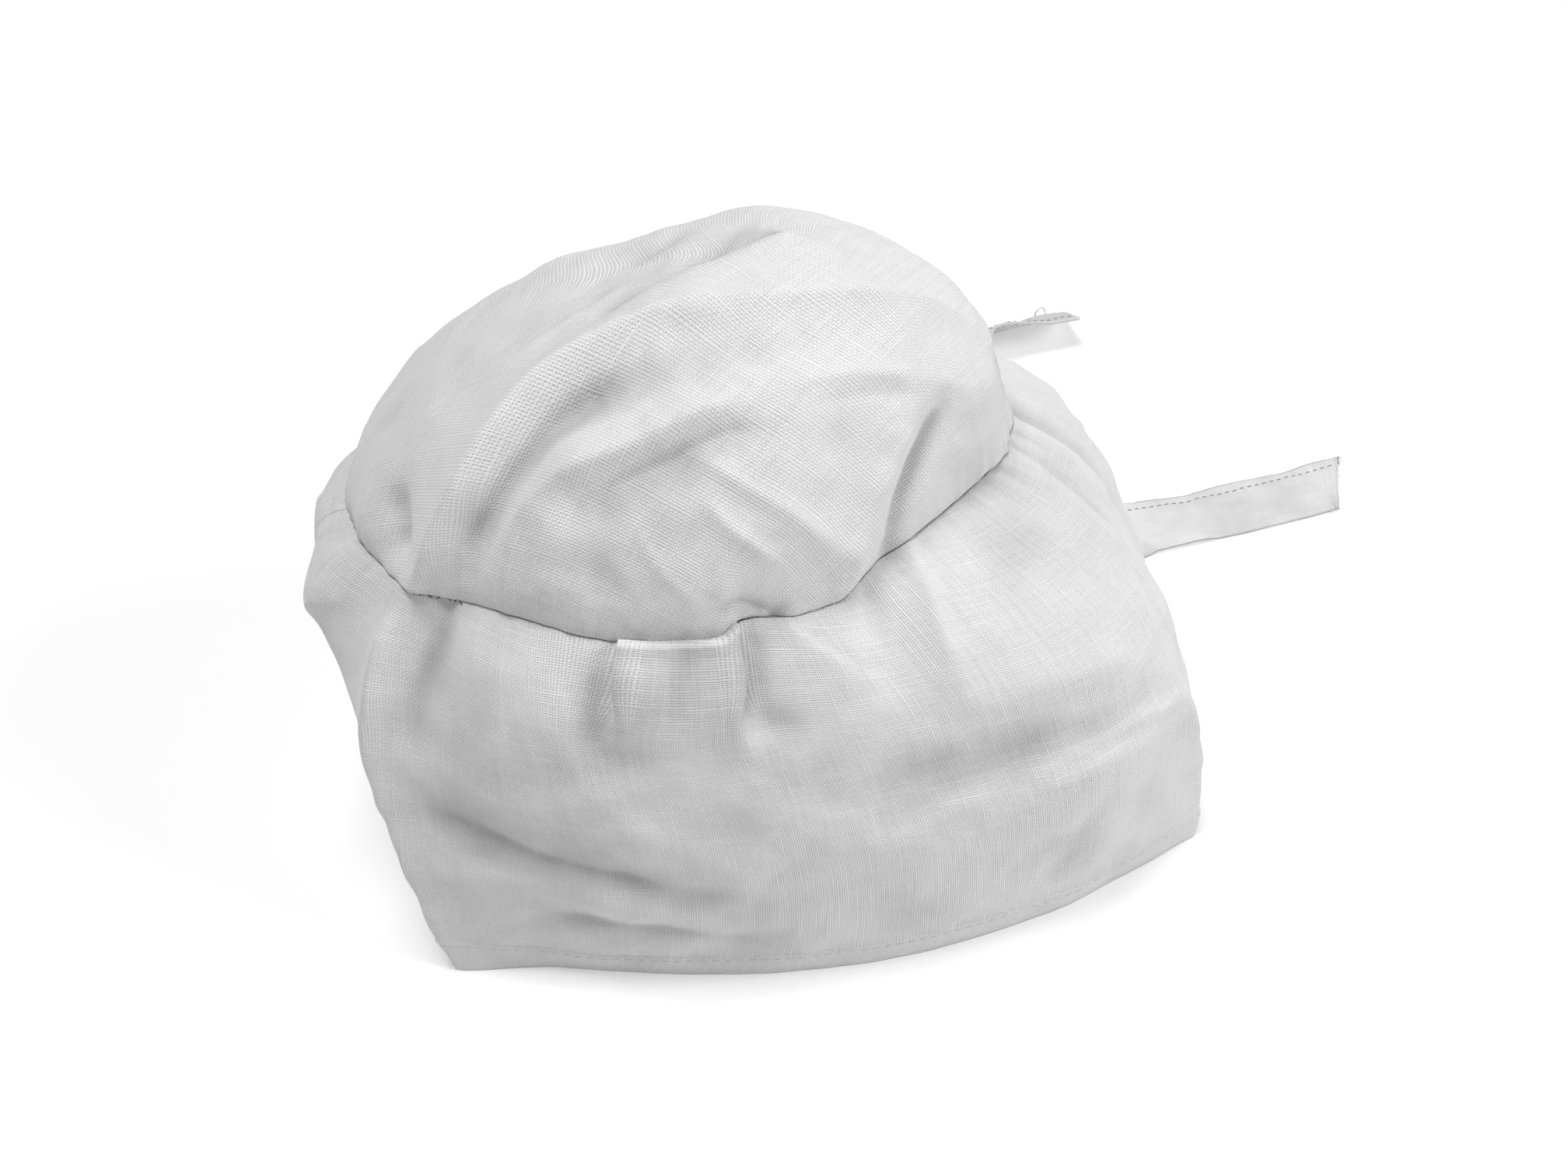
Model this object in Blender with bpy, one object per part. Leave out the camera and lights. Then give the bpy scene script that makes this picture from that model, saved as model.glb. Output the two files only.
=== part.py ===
"""A patka: a soft white cotton cap of a gathered crown on a pleated side band, with two ties.

The cap stands on its rim.  Front is -X, back +X, the wearer's left -Y, and the origin is the
middle of the head opening.  Every place on the cloth is given by two numbers: the azimuth in
degrees (0 front, 90 left side, 180 back, 270 right side) and the level (0 rim, 1 crown seam,
2 top of the crown).
"""
import bmesh
import bpy
import numpy as np

# Driving sizes
MM = 0.001
WALL = 1.4 * MM
HEM_WALL = 2.0 * MM
HEM_HEIGHT = 9 * MM
CROWN_TOP = (-6 * MM, 13 * MM, 161 * MM)
TIE_WIDTH = 23 * MM
TIE_THICKNESS = 1.5 * MM
TIE_CLEARANCE = 0.35 * MM
BAND_HEIGHT = 100 * MM
TOP_LIFT = 0.6 * MM

# How far the edges of band and crown stop short of the seam's line, in levels
BAND_SHORT = 0.0024
CROWN_SHORT = 0.0016

# The roll under the seam: where it is highest, and how much of it goes upward
ROLL_POWER = 2.2
ROLL_RISE = 0.5

# Steps in azimuth and level over which the cloth's slope is taken, and the level where it ends
SLOPE_STEPS = (0.6, 0.035)
SLOPE_END = 1.93
RIM_BLEND = 0.10

# Box pleat that takes up the band's fullness on the left side
PLEAT_LEFT = (71.5, 64.5)
PLEAT_RIGHT = (88.0, 83.5)
PLEAT_LEVELS = (0.78, 1.0)
PLEAT_HEIGHT = 4.0 * MM
PLEAT_EDGE = 1.6
PLEAT_FADE = 0.10
PLEAT_STOP = 1.05

# One row for each section round the cap, in millimetres.  The belly is the wall halfway up,
# full is how quickly the crown turns in (above 1 is flatter), puff is the roll under the seam.
SECTION_COLUMNS = ("azimuth", "rim_x", "rim_y", "belly_x", "belly_y", "belly_z",
                   "seam_x", "seam_y", "seam_z", "full", "puff")
SECTIONS = (
    (0, -107, 0, -128, 8, 70, -120, 9, 98, 1.70, 2),
    (20, -107, -34, -126, -16, 70, -115, -8, 98, 1.45, 2),
    (33, -105, -58, -116, -44, 58, -105, -22, 98, 1.30, 0),
    (50, -82, -68, -86, -66, 52, -86, -38, 99, 1.20, 5),
    (70, -47, -78, -48, -78, 50, -60, -53, 98, 1.10, 5),
    (90, -8, -83, -12, -80, 50, -32, -55, 98, 1.00, 3),
    (110, 30, -80, 24, -75, 50, -3, -45, 100, 0.95, 5),
    (128, 62, -72, 58, -66, 50, 22, -30, 102, 0.90, 7),
    (145, 90, -57, 82, -42, 49, 38, -18, 104, 0.95, 10),
    (162, 94, -26, 86, -17, 45, 47, -7, 107, 1.00, 9),
    (180, 95, 4, 87, 8, 45, 51, 9, 109, 1.05, 10),
    (200, 94, 34, 87, 36, 45, 45, 27, 108, 1.15, 9),
    (218, 84, 58, 80, 62, 46, 30, 45, 106, 1.25, 6),
    (240, 52, 74, 48, 78, 48, 4, 62, 103, 1.30, 4),
    (265, 2, 80, -2, 84, 48, -34, 71, 100, 1.30, 3),
    (290, -46, 76, -54, 80, 52, -76, 64, 99, 1.45, 3),
    (315, -88, 62, -100, 66, 58, -103, 46, 98, 1.70, 3),
    (338, -104, 34, -123, 38, 66, -116, 27, 98, 1.80, 2),
)

# One row for each fold: its course as (azimuth, level) places, its half width and its height
# in millimetres.  A height above 0 is a ridge, below 0 a valley.
FOLDS = (
    ("main_ridge", ((35.5, 1.0), (37.5, 1.20), (35, 1.40), (33, 1.53), (40, 1.66)), 8, 4.2),
    ("main_ridge_top", ((34, 1.56), (48, 1.72), (85, 1.79), (120, 1.75), (152, 1.57), (165, 1.27)), 9, 2.0),
    ("main_ridge_valley", ((44, 1.09), (44.5, 1.20), (45, 1.32), (46, 1.46), (54, 1.57)), 7, -3.6),
    ("main_ridge_hollow", ((50, 1.56), (62, 1.63), (85, 1.68), (115, 1.66)), 10, -1.6),
    ("second_ridge_foot", ((50, 1.04), (49, 1.20), (52, 1.34)), 7, 1.6),
    ("second_ridge", ((50, 1.32), (58, 1.41), (74, 1.52), (90, 1.56)), 6, 2.8),
    ("second_ridge_valley", ((57, 1.26), (65, 1.36), (77, 1.44), (92, 1.48)), 7, -2.0),
    ("cross_crease", ((98, 1.57), (113, 1.54), (130, 1.43), (147, 1.27)), 6, 1.4),
    ("side_crease_upper", ((77, 1.47), (97, 1.30), (113, 1.06)), 5, 1.2),
    ("side_crease_lower", ((81, 1.36), (89, 1.26), (97, 1.16)), 5, 1.2),
    ("sliver_fold", ((136, 1.34), (127, 1.25), (120, 1.14), (117, 1.02)), 3.6, -2.4),
    ("sliver_ridge", ((128, 1.36), (119, 1.25), (112, 1.13), (110, 1.03)), 5, 1.7),
    ("back_bulge", ((146, 1.05), (150, 1.20), (146, 1.34)), 9, 2.5),
    ("front_dent", ((22, 1.18), (28, 1.13), (31, 1.08)), 5, -2.2),
    ("front_dent_ridge", ((6, 1.34), (13, 1.20), (20, 1.07)), 6, 1.8),
    ("top_crease_long", ((24, 1.56), (12, 1.65), (-4, 1.72), (-42, 1.79), (-88, 1.86)), 4, -1.4),
    ("top_crease_short", ((-50, 1.62), (-57, 1.66), (-68, 1.71)), 4, -1.2),
    ("far_bulge", ((-140, 1.66), (-118, 1.70), (-96, 1.74)), 14, 2.5),
    ("far_side_fold", ((-40, 1.10), (-55, 1.30), (-75, 1.45)), 9, 3.0),
    ("far_side_valley", ((-95, 1.08), (-100, 1.28), (-110, 1.45)), 9, -2.5),
    ("front_corner", ((33.5, 0.94), (32.5, 0.84), (31.5, 0.66), (31, 0.50), (33, 0.25), (34, 0.0)), 7, 3.6),
    ("front_corner_valley", ((41, 0.93), (39.5, 0.82), (37.5, 0.68), (37, 0.55)), 6, -1.7),
    ("front_face_ridge", ((24, 0.86), (16, 0.66), (8, 0.50)), 8, 3.0),
    ("front_face_valley", ((10, 0.95), (6, 0.80), (-2, 0.66)), 8, -2.5),
    ("left_low_valley", ((33, 0.44), (44, 0.43), (57, 0.41), (69, 0.34), (80, 0.29)), 8, -1.4),
    ("left_low_valley_2", ((48, 0.24), (58, 0.22), (69, 0.19), (83, 0.10)), 6, -1.4),
    ("left_low_ridge", ((40, 0.33), (52, 0.32), (66, 0.27), (78, 0.20)), 6, 1.2),
    ("pleat_shadow", ((66, 0.92), (64, 0.84), (62, 0.76)), 5, -1.4),
    ("pleat_right_valley", ((90, 0.95), (87, 0.84), (90, 0.77)), 4, -1.8),
    ("tuck_ridge", ((98, 0.97), (102, 0.90), (106, 0.84)), 5, 2.0),
    ("gather_ridge", ((120, 0.99), (117, 0.90), (114, 0.80), (113, 0.68)), 8, 3.2),
    ("gather_valley", ((112, 0.97), (109, 0.88), (106, 0.78)), 6, -1.8),
    ("back_side_ridge", ((118, 0.72), (127, 0.69), (136, 0.65)), 8, 2.5),
    ("back_side_valley", ((97, 0.58), (111, 0.59), (127, 0.55), (141, 0.45)), 9, -1.9),
    ("back_low_ridge", ((114, 0.48), (126, 0.48), (138, 0.44)), 6, 1.8),
    ("back_corner", ((142, 0.52), (143, 0.36), (145, 0.18), (145, 0.0)), 6, 3.0),
    ("back_gather_1", ((152, 0.98), (150, 0.88), (149, 0.74)), 6, 2.5),
    ("back_gather_2", ((159, 0.98), (157, 0.88), (154, 0.78)), 4, -2.5),
    ("back_gather_3", ((166, 0.99), (164, 0.88), (161, 0.76)), 6, 2.5),
    ("back_gather_4", ((173, 0.99), (172, 0.88), (171, 0.78)), 4, -2.2),
    ("back_lap", ((181, 0.99), (181, 0.70), (181, 0.40), (181, 0.08)), 3, 1.0),
    ("back_far_gather", ((196, 0.98), (199, 0.86), (203, 0.72)), 7, 3.0),
    ("far_corner", ((215, 0.0), (216, 0.25), (218, 0.50)), 9, 3.0),
    ("far_low_valley", ((232, 0.35), (250, 0.42), (272, 0.40), (292, 0.30)), 9, -3.0),
    ("far_pleat_ridge", ((256, 0.99), (258, 0.86), (262, 0.72)), 8, 3.2),
    ("far_pleat_valley", ((268, 0.99), (269, 0.88), (272, 0.78)), 5, -2.6),
    ("far_front_ridge", ((300, 0.90), (296, 0.70), (300, 0.50)), 10, 3.0),
    ("far_front_corner", ((322, 0.0), (323, 0.22), (325, 0.45)), 9, 3.0),
)
FOLD_SAMPLES = 20
FOLD_TAPER = (-0.05, 0.22)

# A fold that starts or ends at one of these levels, the rim or the seam, runs out over the edge
EDGE_LEVELS = ((0.0, 0.05), (0.95, 1.06))

# Course of each tie.  The sewn rows give an azimuth and the tie's distance from the wall there
# in millimetres.  The laid rows give x and y in millimetres and the roll in degrees (90 stands
# on its edge).  Lean is the side that the upper edge falls to: 1 left of the way it runs, -1
# right.  Slant is how far the upper edge's end lies past the middle's, in millimetres.
TIE_HEIGHTS = (1.0 * MM, 24.0 * MM)
TIES = {
    "tie_left": {
        "lean": 1,
        "slant": 6.5,
        "sewn": ((158, 0.9), (164, 0.9), (170, 0.9)),
        "laid": ((97.8, 6, 88), (100.5, 21, 87), (103.5, 37, 78), (107, 50, 54), (112.5, 60, 25), (122, 65.5, 8),
                 (136, 67.5, 4), (160, 70, 2), (196, 75, 3)),
    },
    "tie_right": {
        "lean": -1,
        "slant": -2.0,
        "sewn": ((201, 1.2), (206, 1.3), (211, 1.9)),
        "laid": ((93.4, 63.5, 86), (92.8, 78, 72), (88.5, 102, 24), (83, 123, 8), (83, 143, 8),
                 (88, 159, 18), (98, 171, 44), (111, 176.5, 40), (123, 179, 31), (137, 181, 26)),
    },
}
TIE_SECTIONS = 34
TIE_CORNERS = ((-1, -1), (1, -1), (1, 1), (-1, 1))

# Mesh density
SHARP_ANGLE = 60
RIM_MARGIN = 0.001
AZIMUTH_STEP = 5.0
FINE_AZIMUTHS = ((62, 94, 2.0), (29, 39, 2.0), (141, 149, 2.0))
BAND_LEVELS = (0, 0.09, 0.2, 0.3, 0.4, 0.5, 0.6, 0.7, 0.78, 0.85, 0.91, 0.96, 1)
CROWN_LEVELS = (1, 1.04, 1.1, 1.18, 1.27, 1.36, 1.45, 1.54, 1.63, 1.72, 1.81, 1.9)

COLOURS = {
    "crown": (0.80, 0.80, 0.79),
    "band": (0.76, 0.76, 0.75),
    "tie_left": (0.78, 0.78, 0.77),
    "tie_right": (0.72, 0.72, 0.71),
}


def periodic_spline(rows, azimuth):
    """Every column of the rows at each azimuth, by a cubic curve that closes on itself."""
    knots, values = rows[:, 0], rows[:, 1:]
    knots = np.concatenate([[knots[-1] - 360], knots, [knots[0] + 360, knots[1] + 360]])
    values = np.concatenate([values[-1:], values, values[:2]])
    span = np.diff(knots)[:, None]
    slope = np.diff(values, axis=0) / span
    tangent = (slope[:-1] * span[1:] + slope[1:] * span[:-1]) / (span[1:] + span[:-1])
    azimuth = np.mod(azimuth, 360)
    left = np.searchsorted(knots, azimuth, side="right") - 1
    left = np.clip(left, 1, len(rows))
    step = (knots[left + 1] - knots[left])[..., None]
    t = (azimuth - knots[left])[..., None] / step
    return ((2 * t**3 - 3 * t**2 + 1) * values[left]
            + (t**3 - 2 * t**2 + t) * step * tangent[left - 1]
            + (3 * t**2 - 2 * t**3) * values[left + 1]
            + (t**3 - t**2) * step * tangent[left])


def smooth_step(low, high, value):
    """0 below low, 1 above high, and a smooth rise between them."""
    t = np.clip((value - low) / (high - low), 0, 1)
    return t * t * (3 - 2 * t)


def plain_shape(azimuth, level):
    """The cloth without its folds.

    The band is a parabola through rim, belly and seam, with a roll under the seam.  The crown
    is a quarter of a superellipse from the seam to the top.
    """
    azimuth, level = np.broadcast_arrays(np.asarray(azimuth, float), np.asarray(level, float))
    table = periodic_spline(np.array(SECTIONS, float), azimuth)
    row = {name: table[..., i] for i, name in enumerate(SECTION_COLUMNS[1:])}
    v = np.clip(level, 0, 1)
    rim, belly, seam = (1 - v) * (1 - 2 * v), 4 * v * (1 - v), v * (2 * v - 1)
    x = rim * row["rim_x"] + belly * row["belly_x"] + seam * row["seam_x"]
    y = rim * row["rim_y"] + belly * row["belly_y"] + seam * row["seam_y"]
    z = belly * row["belly_z"] + seam * row["seam_z"]
    roll = row["puff"] * np.sin(np.pi * v**ROLL_POWER)
    radius = np.hypot(x, y) + 1
    band = np.stack([x + roll * x / radius, y + roll * y / radius, z + ROLL_RISE * roll], -1) * MM
    turn = np.clip(level - 1, 0, 1) * np.pi / 2
    inward = np.cos(turn)[..., None] ** row["full"][..., None]
    edge = np.stack([row["seam_x"], row["seam_y"], row["seam_z"]], -1) * MM
    top = np.array(CROWN_TOP)
    crown = top + (edge - top) * inward
    crown[..., 2] = edge[..., 2] + (top[2] - edge[..., 2]) * np.sin(turn)
    return np.where((level <= 1)[..., None], band, crown)


def outward(azimuth, level):
    """The plain shape's normal, level at the rim and shared by band and crown at the seam."""
    turn, climb = SLOPE_STEPS
    level = np.minimum(level, SLOPE_END)
    along = plain_shape(azimuth + turn, level) - plain_shape(azimuth - turn, level)
    rising = plain_shape(azimuth, level + climb) - plain_shape(azimuth, np.maximum(level - climb, 0))
    normal = np.cross(along, rising)
    normal[..., 2] *= smooth_step(0.0, RIM_BLEND, level)
    return normal / np.linalg.norm(normal, axis=-1, keepdims=True)


def curve_places(places, count):
    """A smooth curve through (azimuth, level) places, read at evenly spaced steps."""
    points = np.array(places, float)
    ends = np.concatenate([[2 * points[0] - points[1]], points, [2 * points[-1] - points[-2]]])
    s = np.linspace(0, len(points) - 1, count)
    i = np.minimum(s.astype(int), len(points) - 2)
    t = (s - i)[:, None]
    a, b, c, d = ends[i], ends[i + 1], ends[i + 2], ends[i + 3]
    return 0.5 * (2 * b + (c - a) * t + (2 * a - 5 * b + 4 * c - d) * t**2 + (3 * b - a - 3 * c + d) * t**3)


def runs_out(level):
    """1 if a fold that ends at this level runs out over the rim or the seam, else 0."""
    return float(any(low <= level <= high for low, high in EDGE_LEVELS))


def fold_height(points):
    """Sum of all folds at each point of the plain shape, in metres along the normal."""
    total = np.zeros(points.shape[:-1])
    for _, places, width, height in FOLDS:
        course = curve_places(places, FOLD_SAMPLES)
        spine = plain_shape(course[:, 0], course[:, 1])
        s = np.linspace(0, 1, FOLD_SAMPLES)
        strength = (np.maximum(smooth_step(*FOLD_TAPER, s), runs_out(places[0][1]))
                    * np.maximum(smooth_step(*FOLD_TAPER, 1 - s), runs_out(places[-1][1])))
        reach = np.zeros(points.shape[:-1])
        for start, end, first, last in zip(spine[:-1], spine[1:], strength[:-1], strength[1:]):
            step = end - start
            t = np.clip((points - start) @ step / (step @ step), 0, 1)
            apart = np.linalg.norm(points - start - t[..., None] * step, axis=-1)
            reach = np.maximum(reach, np.exp(-((apart / (width * MM)) ** 2)) * (first + (last - first) * t))
        total += height * MM * reach
    return total


def pleat_height(azimuth, level):
    """The box pleat: a flat panel that stands out under the seam and fades below."""
    down = np.clip((PLEAT_LEVELS[1] - level) / (PLEAT_LEVELS[1] - PLEAT_LEVELS[0]), 0, 1)
    left = PLEAT_LEFT[0] + (PLEAT_LEFT[1] - PLEAT_LEFT[0]) * down
    right = PLEAT_RIGHT[0] + (PLEAT_RIGHT[1] - PLEAT_RIGHT[0]) * down
    panel = smooth_step(left - PLEAT_EDGE, left + PLEAT_EDGE, azimuth)
    panel = panel * (1 - smooth_step(right - PLEAT_EDGE, right + PLEAT_EDGE, azimuth))
    fade = smooth_step(PLEAT_LEVELS[0] - PLEAT_FADE, PLEAT_LEVELS[0] + PLEAT_FADE, level)
    return PLEAT_HEIGHT * panel * fade * (1 - smooth_step(PLEAT_LEVELS[1], PLEAT_STOP, level))


def cloth(azimuth, level, depth=0.0):
    """Points of the folded cloth, this far in from its outer face."""
    azimuth, level = np.broadcast_arrays(np.asarray(azimuth, float), np.asarray(level, float))
    plain = plain_shape(azimuth, level)
    normal = outward(azimuth, level)
    lift = fold_height(plain) + pleat_height(azimuth, level)
    point = plain + normal * (lift - depth)[..., None]
    point[..., 2] = np.where(level <= 0, 0.0, point[..., 2])
    return point


def azimuth_lines():
    """Evenly spaced sections, with closer ones across the pleat and the pressed corners."""
    lines = set(np.arange(0, 360, AZIMUTH_STEP).tolist())
    for start, end, step in FINE_AZIMUTHS:
        lines = {a for a in lines if not start - 1 < a < end + 1}
        lines |= set(np.arange(start, end + step / 2, step).tolist())
    return np.array(sorted(lines))


def new_object(name, vertices, faces):
    """A closed, smooth-shaded object with its own cotton material."""
    mesh = bpy.data.meshes.new(name)
    mesh.from_pydata([tuple(v) for v in vertices], [], faces)
    shape = bmesh.new()
    shape.from_mesh(mesh)
    bmesh.ops.triangulate(shape, faces=shape.faces[:])
    bmesh.ops.recalc_face_normals(shape, faces=shape.faces[:])
    shape.to_mesh(mesh)
    shape.free()
    mesh.shade_smooth()
    mesh.set_sharp_from_angle(angle=np.radians(SHARP_ANGLE))
    material = bpy.data.materials.new(name + "_cotton")
    material.use_nodes = True
    shader = material.node_tree.nodes["Principled BSDF"]
    shader.inputs["Base Color"].default_value = (*COLOURS[name], 1)
    shader.inputs["Roughness"].default_value = 0.9
    shader.inputs["Metallic"].default_value = 0.0
    mesh.materials.append(material)
    piece = bpy.data.objects.new(name, mesh)
    bpy.context.scene.collection.objects.link(piece)
    return piece


def ring_faces(first, second, count):
    """Quads between two rings of vertices that start at these indices."""
    return [(first + i, first + (i + 1) % count, second + (i + 1) % count, second + i) for i in range(count)]


def make_band():
    """The side band: an outer and an inner skin joined at the rim and at the seam."""
    azimuths = azimuth_lines()
    levels = np.array(BAND_LEVELS, float)
    levels[-1] -= BAND_SHORT
    count = len(azimuths)
    depth = np.where(levels <= HEM_HEIGHT / BAND_HEIGHT + RIM_MARGIN, HEM_WALL, WALL)
    rings = [cloth(azimuths, level) for level in levels]
    rings += [cloth(azimuths, level, d) for level, d in zip(levels[::-1], depth[::-1])]
    faces = []
    for ring in range(len(rings)):
        faces += ring_faces(ring * count, (ring + 1) % len(rings) * count, count)
    return new_object("band", np.concatenate(rings), faces)


def make_crown():
    """The crown: an outer and an inner dome joined at the seam."""
    azimuths = azimuth_lines()
    levels = np.array(CROWN_LEVELS, float)
    levels[0] += CROWN_SHORT
    count = len(azimuths)
    rings = [cloth(azimuths, level) for level in levels[::-1]]
    rings += [cloth(azimuths, level, WALL) for level in levels]
    vertices = np.concatenate(rings)
    last = len(rings) - 1
    faces = []
    for ring in range(last):
        faces += ring_faces(ring * count, (ring + 1) * count, count)
    tops = [rings[0].mean(axis=0) + (0, 0, TOP_LIFT), rings[last].mean(axis=0) + (0, 0, TOP_LIFT)]
    outer, inner = len(vertices), len(vertices) + 1
    faces += [(outer, (i + 1) % count, i) for i in range(count)]
    faces += [(inner, last * count + i, last * count + (i + 1) % count) for i in range(count)]
    return new_object("crown", np.concatenate([vertices, tops]), faces)


def tie_frames(lean, slant, sewn, laid):
    """Centre line and width direction of a tie, from its seat on the wall to its free end."""
    centres, widths = [], []
    for azimuth, seat in sewn:
        wall = [cloth(azimuth, h / BAND_HEIGHT, -(seat * MM + TIE_THICKNESS / 2)) for h in TIE_HEIGHTS]
        lower, upper = np.array(wall[0]), np.array(wall[1])
        width = upper - lower
        width /= np.linalg.norm(width)
        centre = lower + width * TIE_WIDTH / 2
        centre[2] += TIE_CLEARANCE
        centres.append(centre)
        widths.append(width)
    path = np.array([row[:2] for row in laid], float) * MM
    heading = np.gradient(np.concatenate([[centres[-1][:2]], path]), axis=0)[1:]
    for place, ahead, row in zip(path, heading, laid):
        roll = np.radians(row[2])
        side = lean * np.array([-ahead[1], ahead[0]]) / np.hypot(*ahead)
        width = np.array([*(side * np.cos(roll)), np.sin(roll)])
        rise = TIE_CLEARANCE + TIE_WIDTH / 2 * np.sin(roll) + TIE_THICKNESS / 2 * np.cos(roll)
        centres.append(np.array([*place, rise]))
        widths.append(width)
    centres = curve_places(centres, TIE_SECTIONS)
    widths = curve_places(widths, TIE_SECTIONS)
    widths /= np.linalg.norm(widths, axis=1, keepdims=True)
    end = centres[-1] - centres[-2]
    widths[-1] += end / np.linalg.norm(end) * slant * MM / (TIE_WIDTH / 2)
    return centres, widths


def make_tie(name):
    """A folded strip of cotton: four corners for each section, closed at both ends."""
    centres, widths = tie_frames(**TIES[name])
    along = np.gradient(centres, axis=0)
    thick = np.cross(along, widths)
    thick /= np.linalg.norm(thick, axis=1, keepdims=True)
    corners = []
    for across, through in TIE_CORNERS:
        corners.append(centres + across * widths * TIE_WIDTH / 2 + through * thick * TIE_THICKNESS / 2)
    vertices = np.stack(corners, axis=1).reshape(-1, 3)
    faces = []
    count = len(TIE_CORNERS)
    for section in range(TIE_SECTIONS - 1):
        faces += ring_faces(section * count, (section + 1) * count, count)
    last = (TIE_SECTIONS - 1) * count
    faces += [tuple(range(count))[::-1], tuple(range(last, last + count))]
    return new_object(name, vertices, faces)


def main():
    for old in list(bpy.data.objects):
        bpy.data.objects.remove(old, do_unlink=True)
    make_band()
    make_crown()
    for name in TIES:
        make_tie(name)


main()
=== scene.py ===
"""A patka of white cotton: a folded crown on a pleated side band, with two stitched ties.

The cap stands on its rim on a pale floor.  Front is -X, back +X and the wearer's left -Y.  Every
place on the cloth is given by its azimuth in degrees (0 front, 90 left side, 180 back, 270 right
side) and its level (0 rim, 1 crown seam, 2 top of the crown).
"""
from __future__ import annotations

import logging
import math
from dataclasses import dataclass, field
from enum import Enum
from functools import partial

import bpy
import numpy as np
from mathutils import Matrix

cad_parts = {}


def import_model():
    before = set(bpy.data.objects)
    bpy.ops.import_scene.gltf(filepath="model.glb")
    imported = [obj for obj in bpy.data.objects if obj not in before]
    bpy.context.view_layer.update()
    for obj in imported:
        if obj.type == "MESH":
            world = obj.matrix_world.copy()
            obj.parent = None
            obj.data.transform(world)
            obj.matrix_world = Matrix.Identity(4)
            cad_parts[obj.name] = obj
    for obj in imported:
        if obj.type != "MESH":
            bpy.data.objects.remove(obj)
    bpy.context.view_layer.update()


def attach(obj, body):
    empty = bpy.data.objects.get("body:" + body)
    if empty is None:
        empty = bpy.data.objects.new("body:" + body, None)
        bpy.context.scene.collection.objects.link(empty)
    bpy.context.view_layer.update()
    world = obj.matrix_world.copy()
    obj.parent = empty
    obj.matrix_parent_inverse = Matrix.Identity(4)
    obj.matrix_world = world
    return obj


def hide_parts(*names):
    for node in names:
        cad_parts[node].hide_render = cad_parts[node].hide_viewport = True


LOG = logging.getLogger("patka")
MM = 0.001
BODY = "root"

SECTION_COLUMNS = ("azimuth", "rim_x", "rim_y", "belly_x", "belly_y", "belly_z",
                   "seam_x", "seam_y", "seam_z", "full", "puff")
SECTIONS = (
    (0, -107, 0, -128, 8, 70, -120, 9, 98, 1.70, 2),
    (20, -107, -34, -126, -16, 70, -115, -8, 98, 1.45, 2),
    (33, -105, -58, -116, -44, 58, -105, -22, 98, 1.30, 0),
    (50, -82, -68, -86, -66, 52, -86, -38, 99, 1.20, 5),
    (70, -47, -78, -48, -78, 50, -60, -53, 98, 1.10, 5),
    (90, -8, -83, -12, -80, 50, -32, -55, 98, 1.00, 3),
    (110, 30, -80, 24, -75, 50, -3, -45, 100, 0.95, 5),
    (128, 62, -72, 58, -66, 50, 22, -30, 102, 0.90, 7),
    (145, 90, -57, 82, -42, 49, 38, -18, 104, 0.95, 10),
    (162, 94, -26, 86, -17, 45, 47, -7, 107, 1.00, 9),
    (180, 95, 4, 87, 8, 45, 51, 9, 109, 1.05, 10),
    (200, 94, 34, 87, 36, 45, 45, 27, 108, 1.15, 9),
    (218, 84, 58, 80, 62, 46, 30, 45, 106, 1.25, 6),
    (240, 52, 74, 48, 78, 48, 4, 62, 103, 1.30, 4),
    (265, 2, 80, -2, 84, 48, -34, 71, 100, 1.30, 3),
    (290, -46, 76, -54, 80, 52, -76, 64, 99, 1.45, 3),
    (315, -88, 62, -100, 66, 58, -103, 46, 98, 1.70, 3),
    (338, -104, 34, -123, 38, 66, -116, 27, 98, 1.80, 2),
)

# How far the seam runs below its even curve beside the pleat, in millimetres at each azimuth
SEAM_RUNS = ((72, 0.0), (87.3, 1.4), (90.0, -2.2), (93.0, -1.6), (100.5, 2.2), (108.5, 4.2), (115, 0.0))
SEAM_DOWN = (-0.14, -0.65, -0.74)


class Crease(Enum):
    """How the cloth turns over a fold's spine."""

    SOFT = "rounded like a roll"
    CRISP = "pressed to a line"


class Part(Enum):
    """Which cloth a fold lies on, so that the other cloth skips it."""

    BAND = "band"
    CROWN = "crown"
    BOTH = "both"


@dataclass(frozen=True)
class Fold:
    """One fold: where it runs, how wide and how high it is, and how sharply it turns."""

    name: str
    places: tuple[tuple[float, float], ...]
    width: float
    height: float
    crease: Crease = Crease.SOFT
    part: Part = Part.BOTH


SOFT, CRISP = Crease.SOFT, Crease.CRISP
BAND, CROWN = Part.BAND, Part.CROWN

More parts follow.
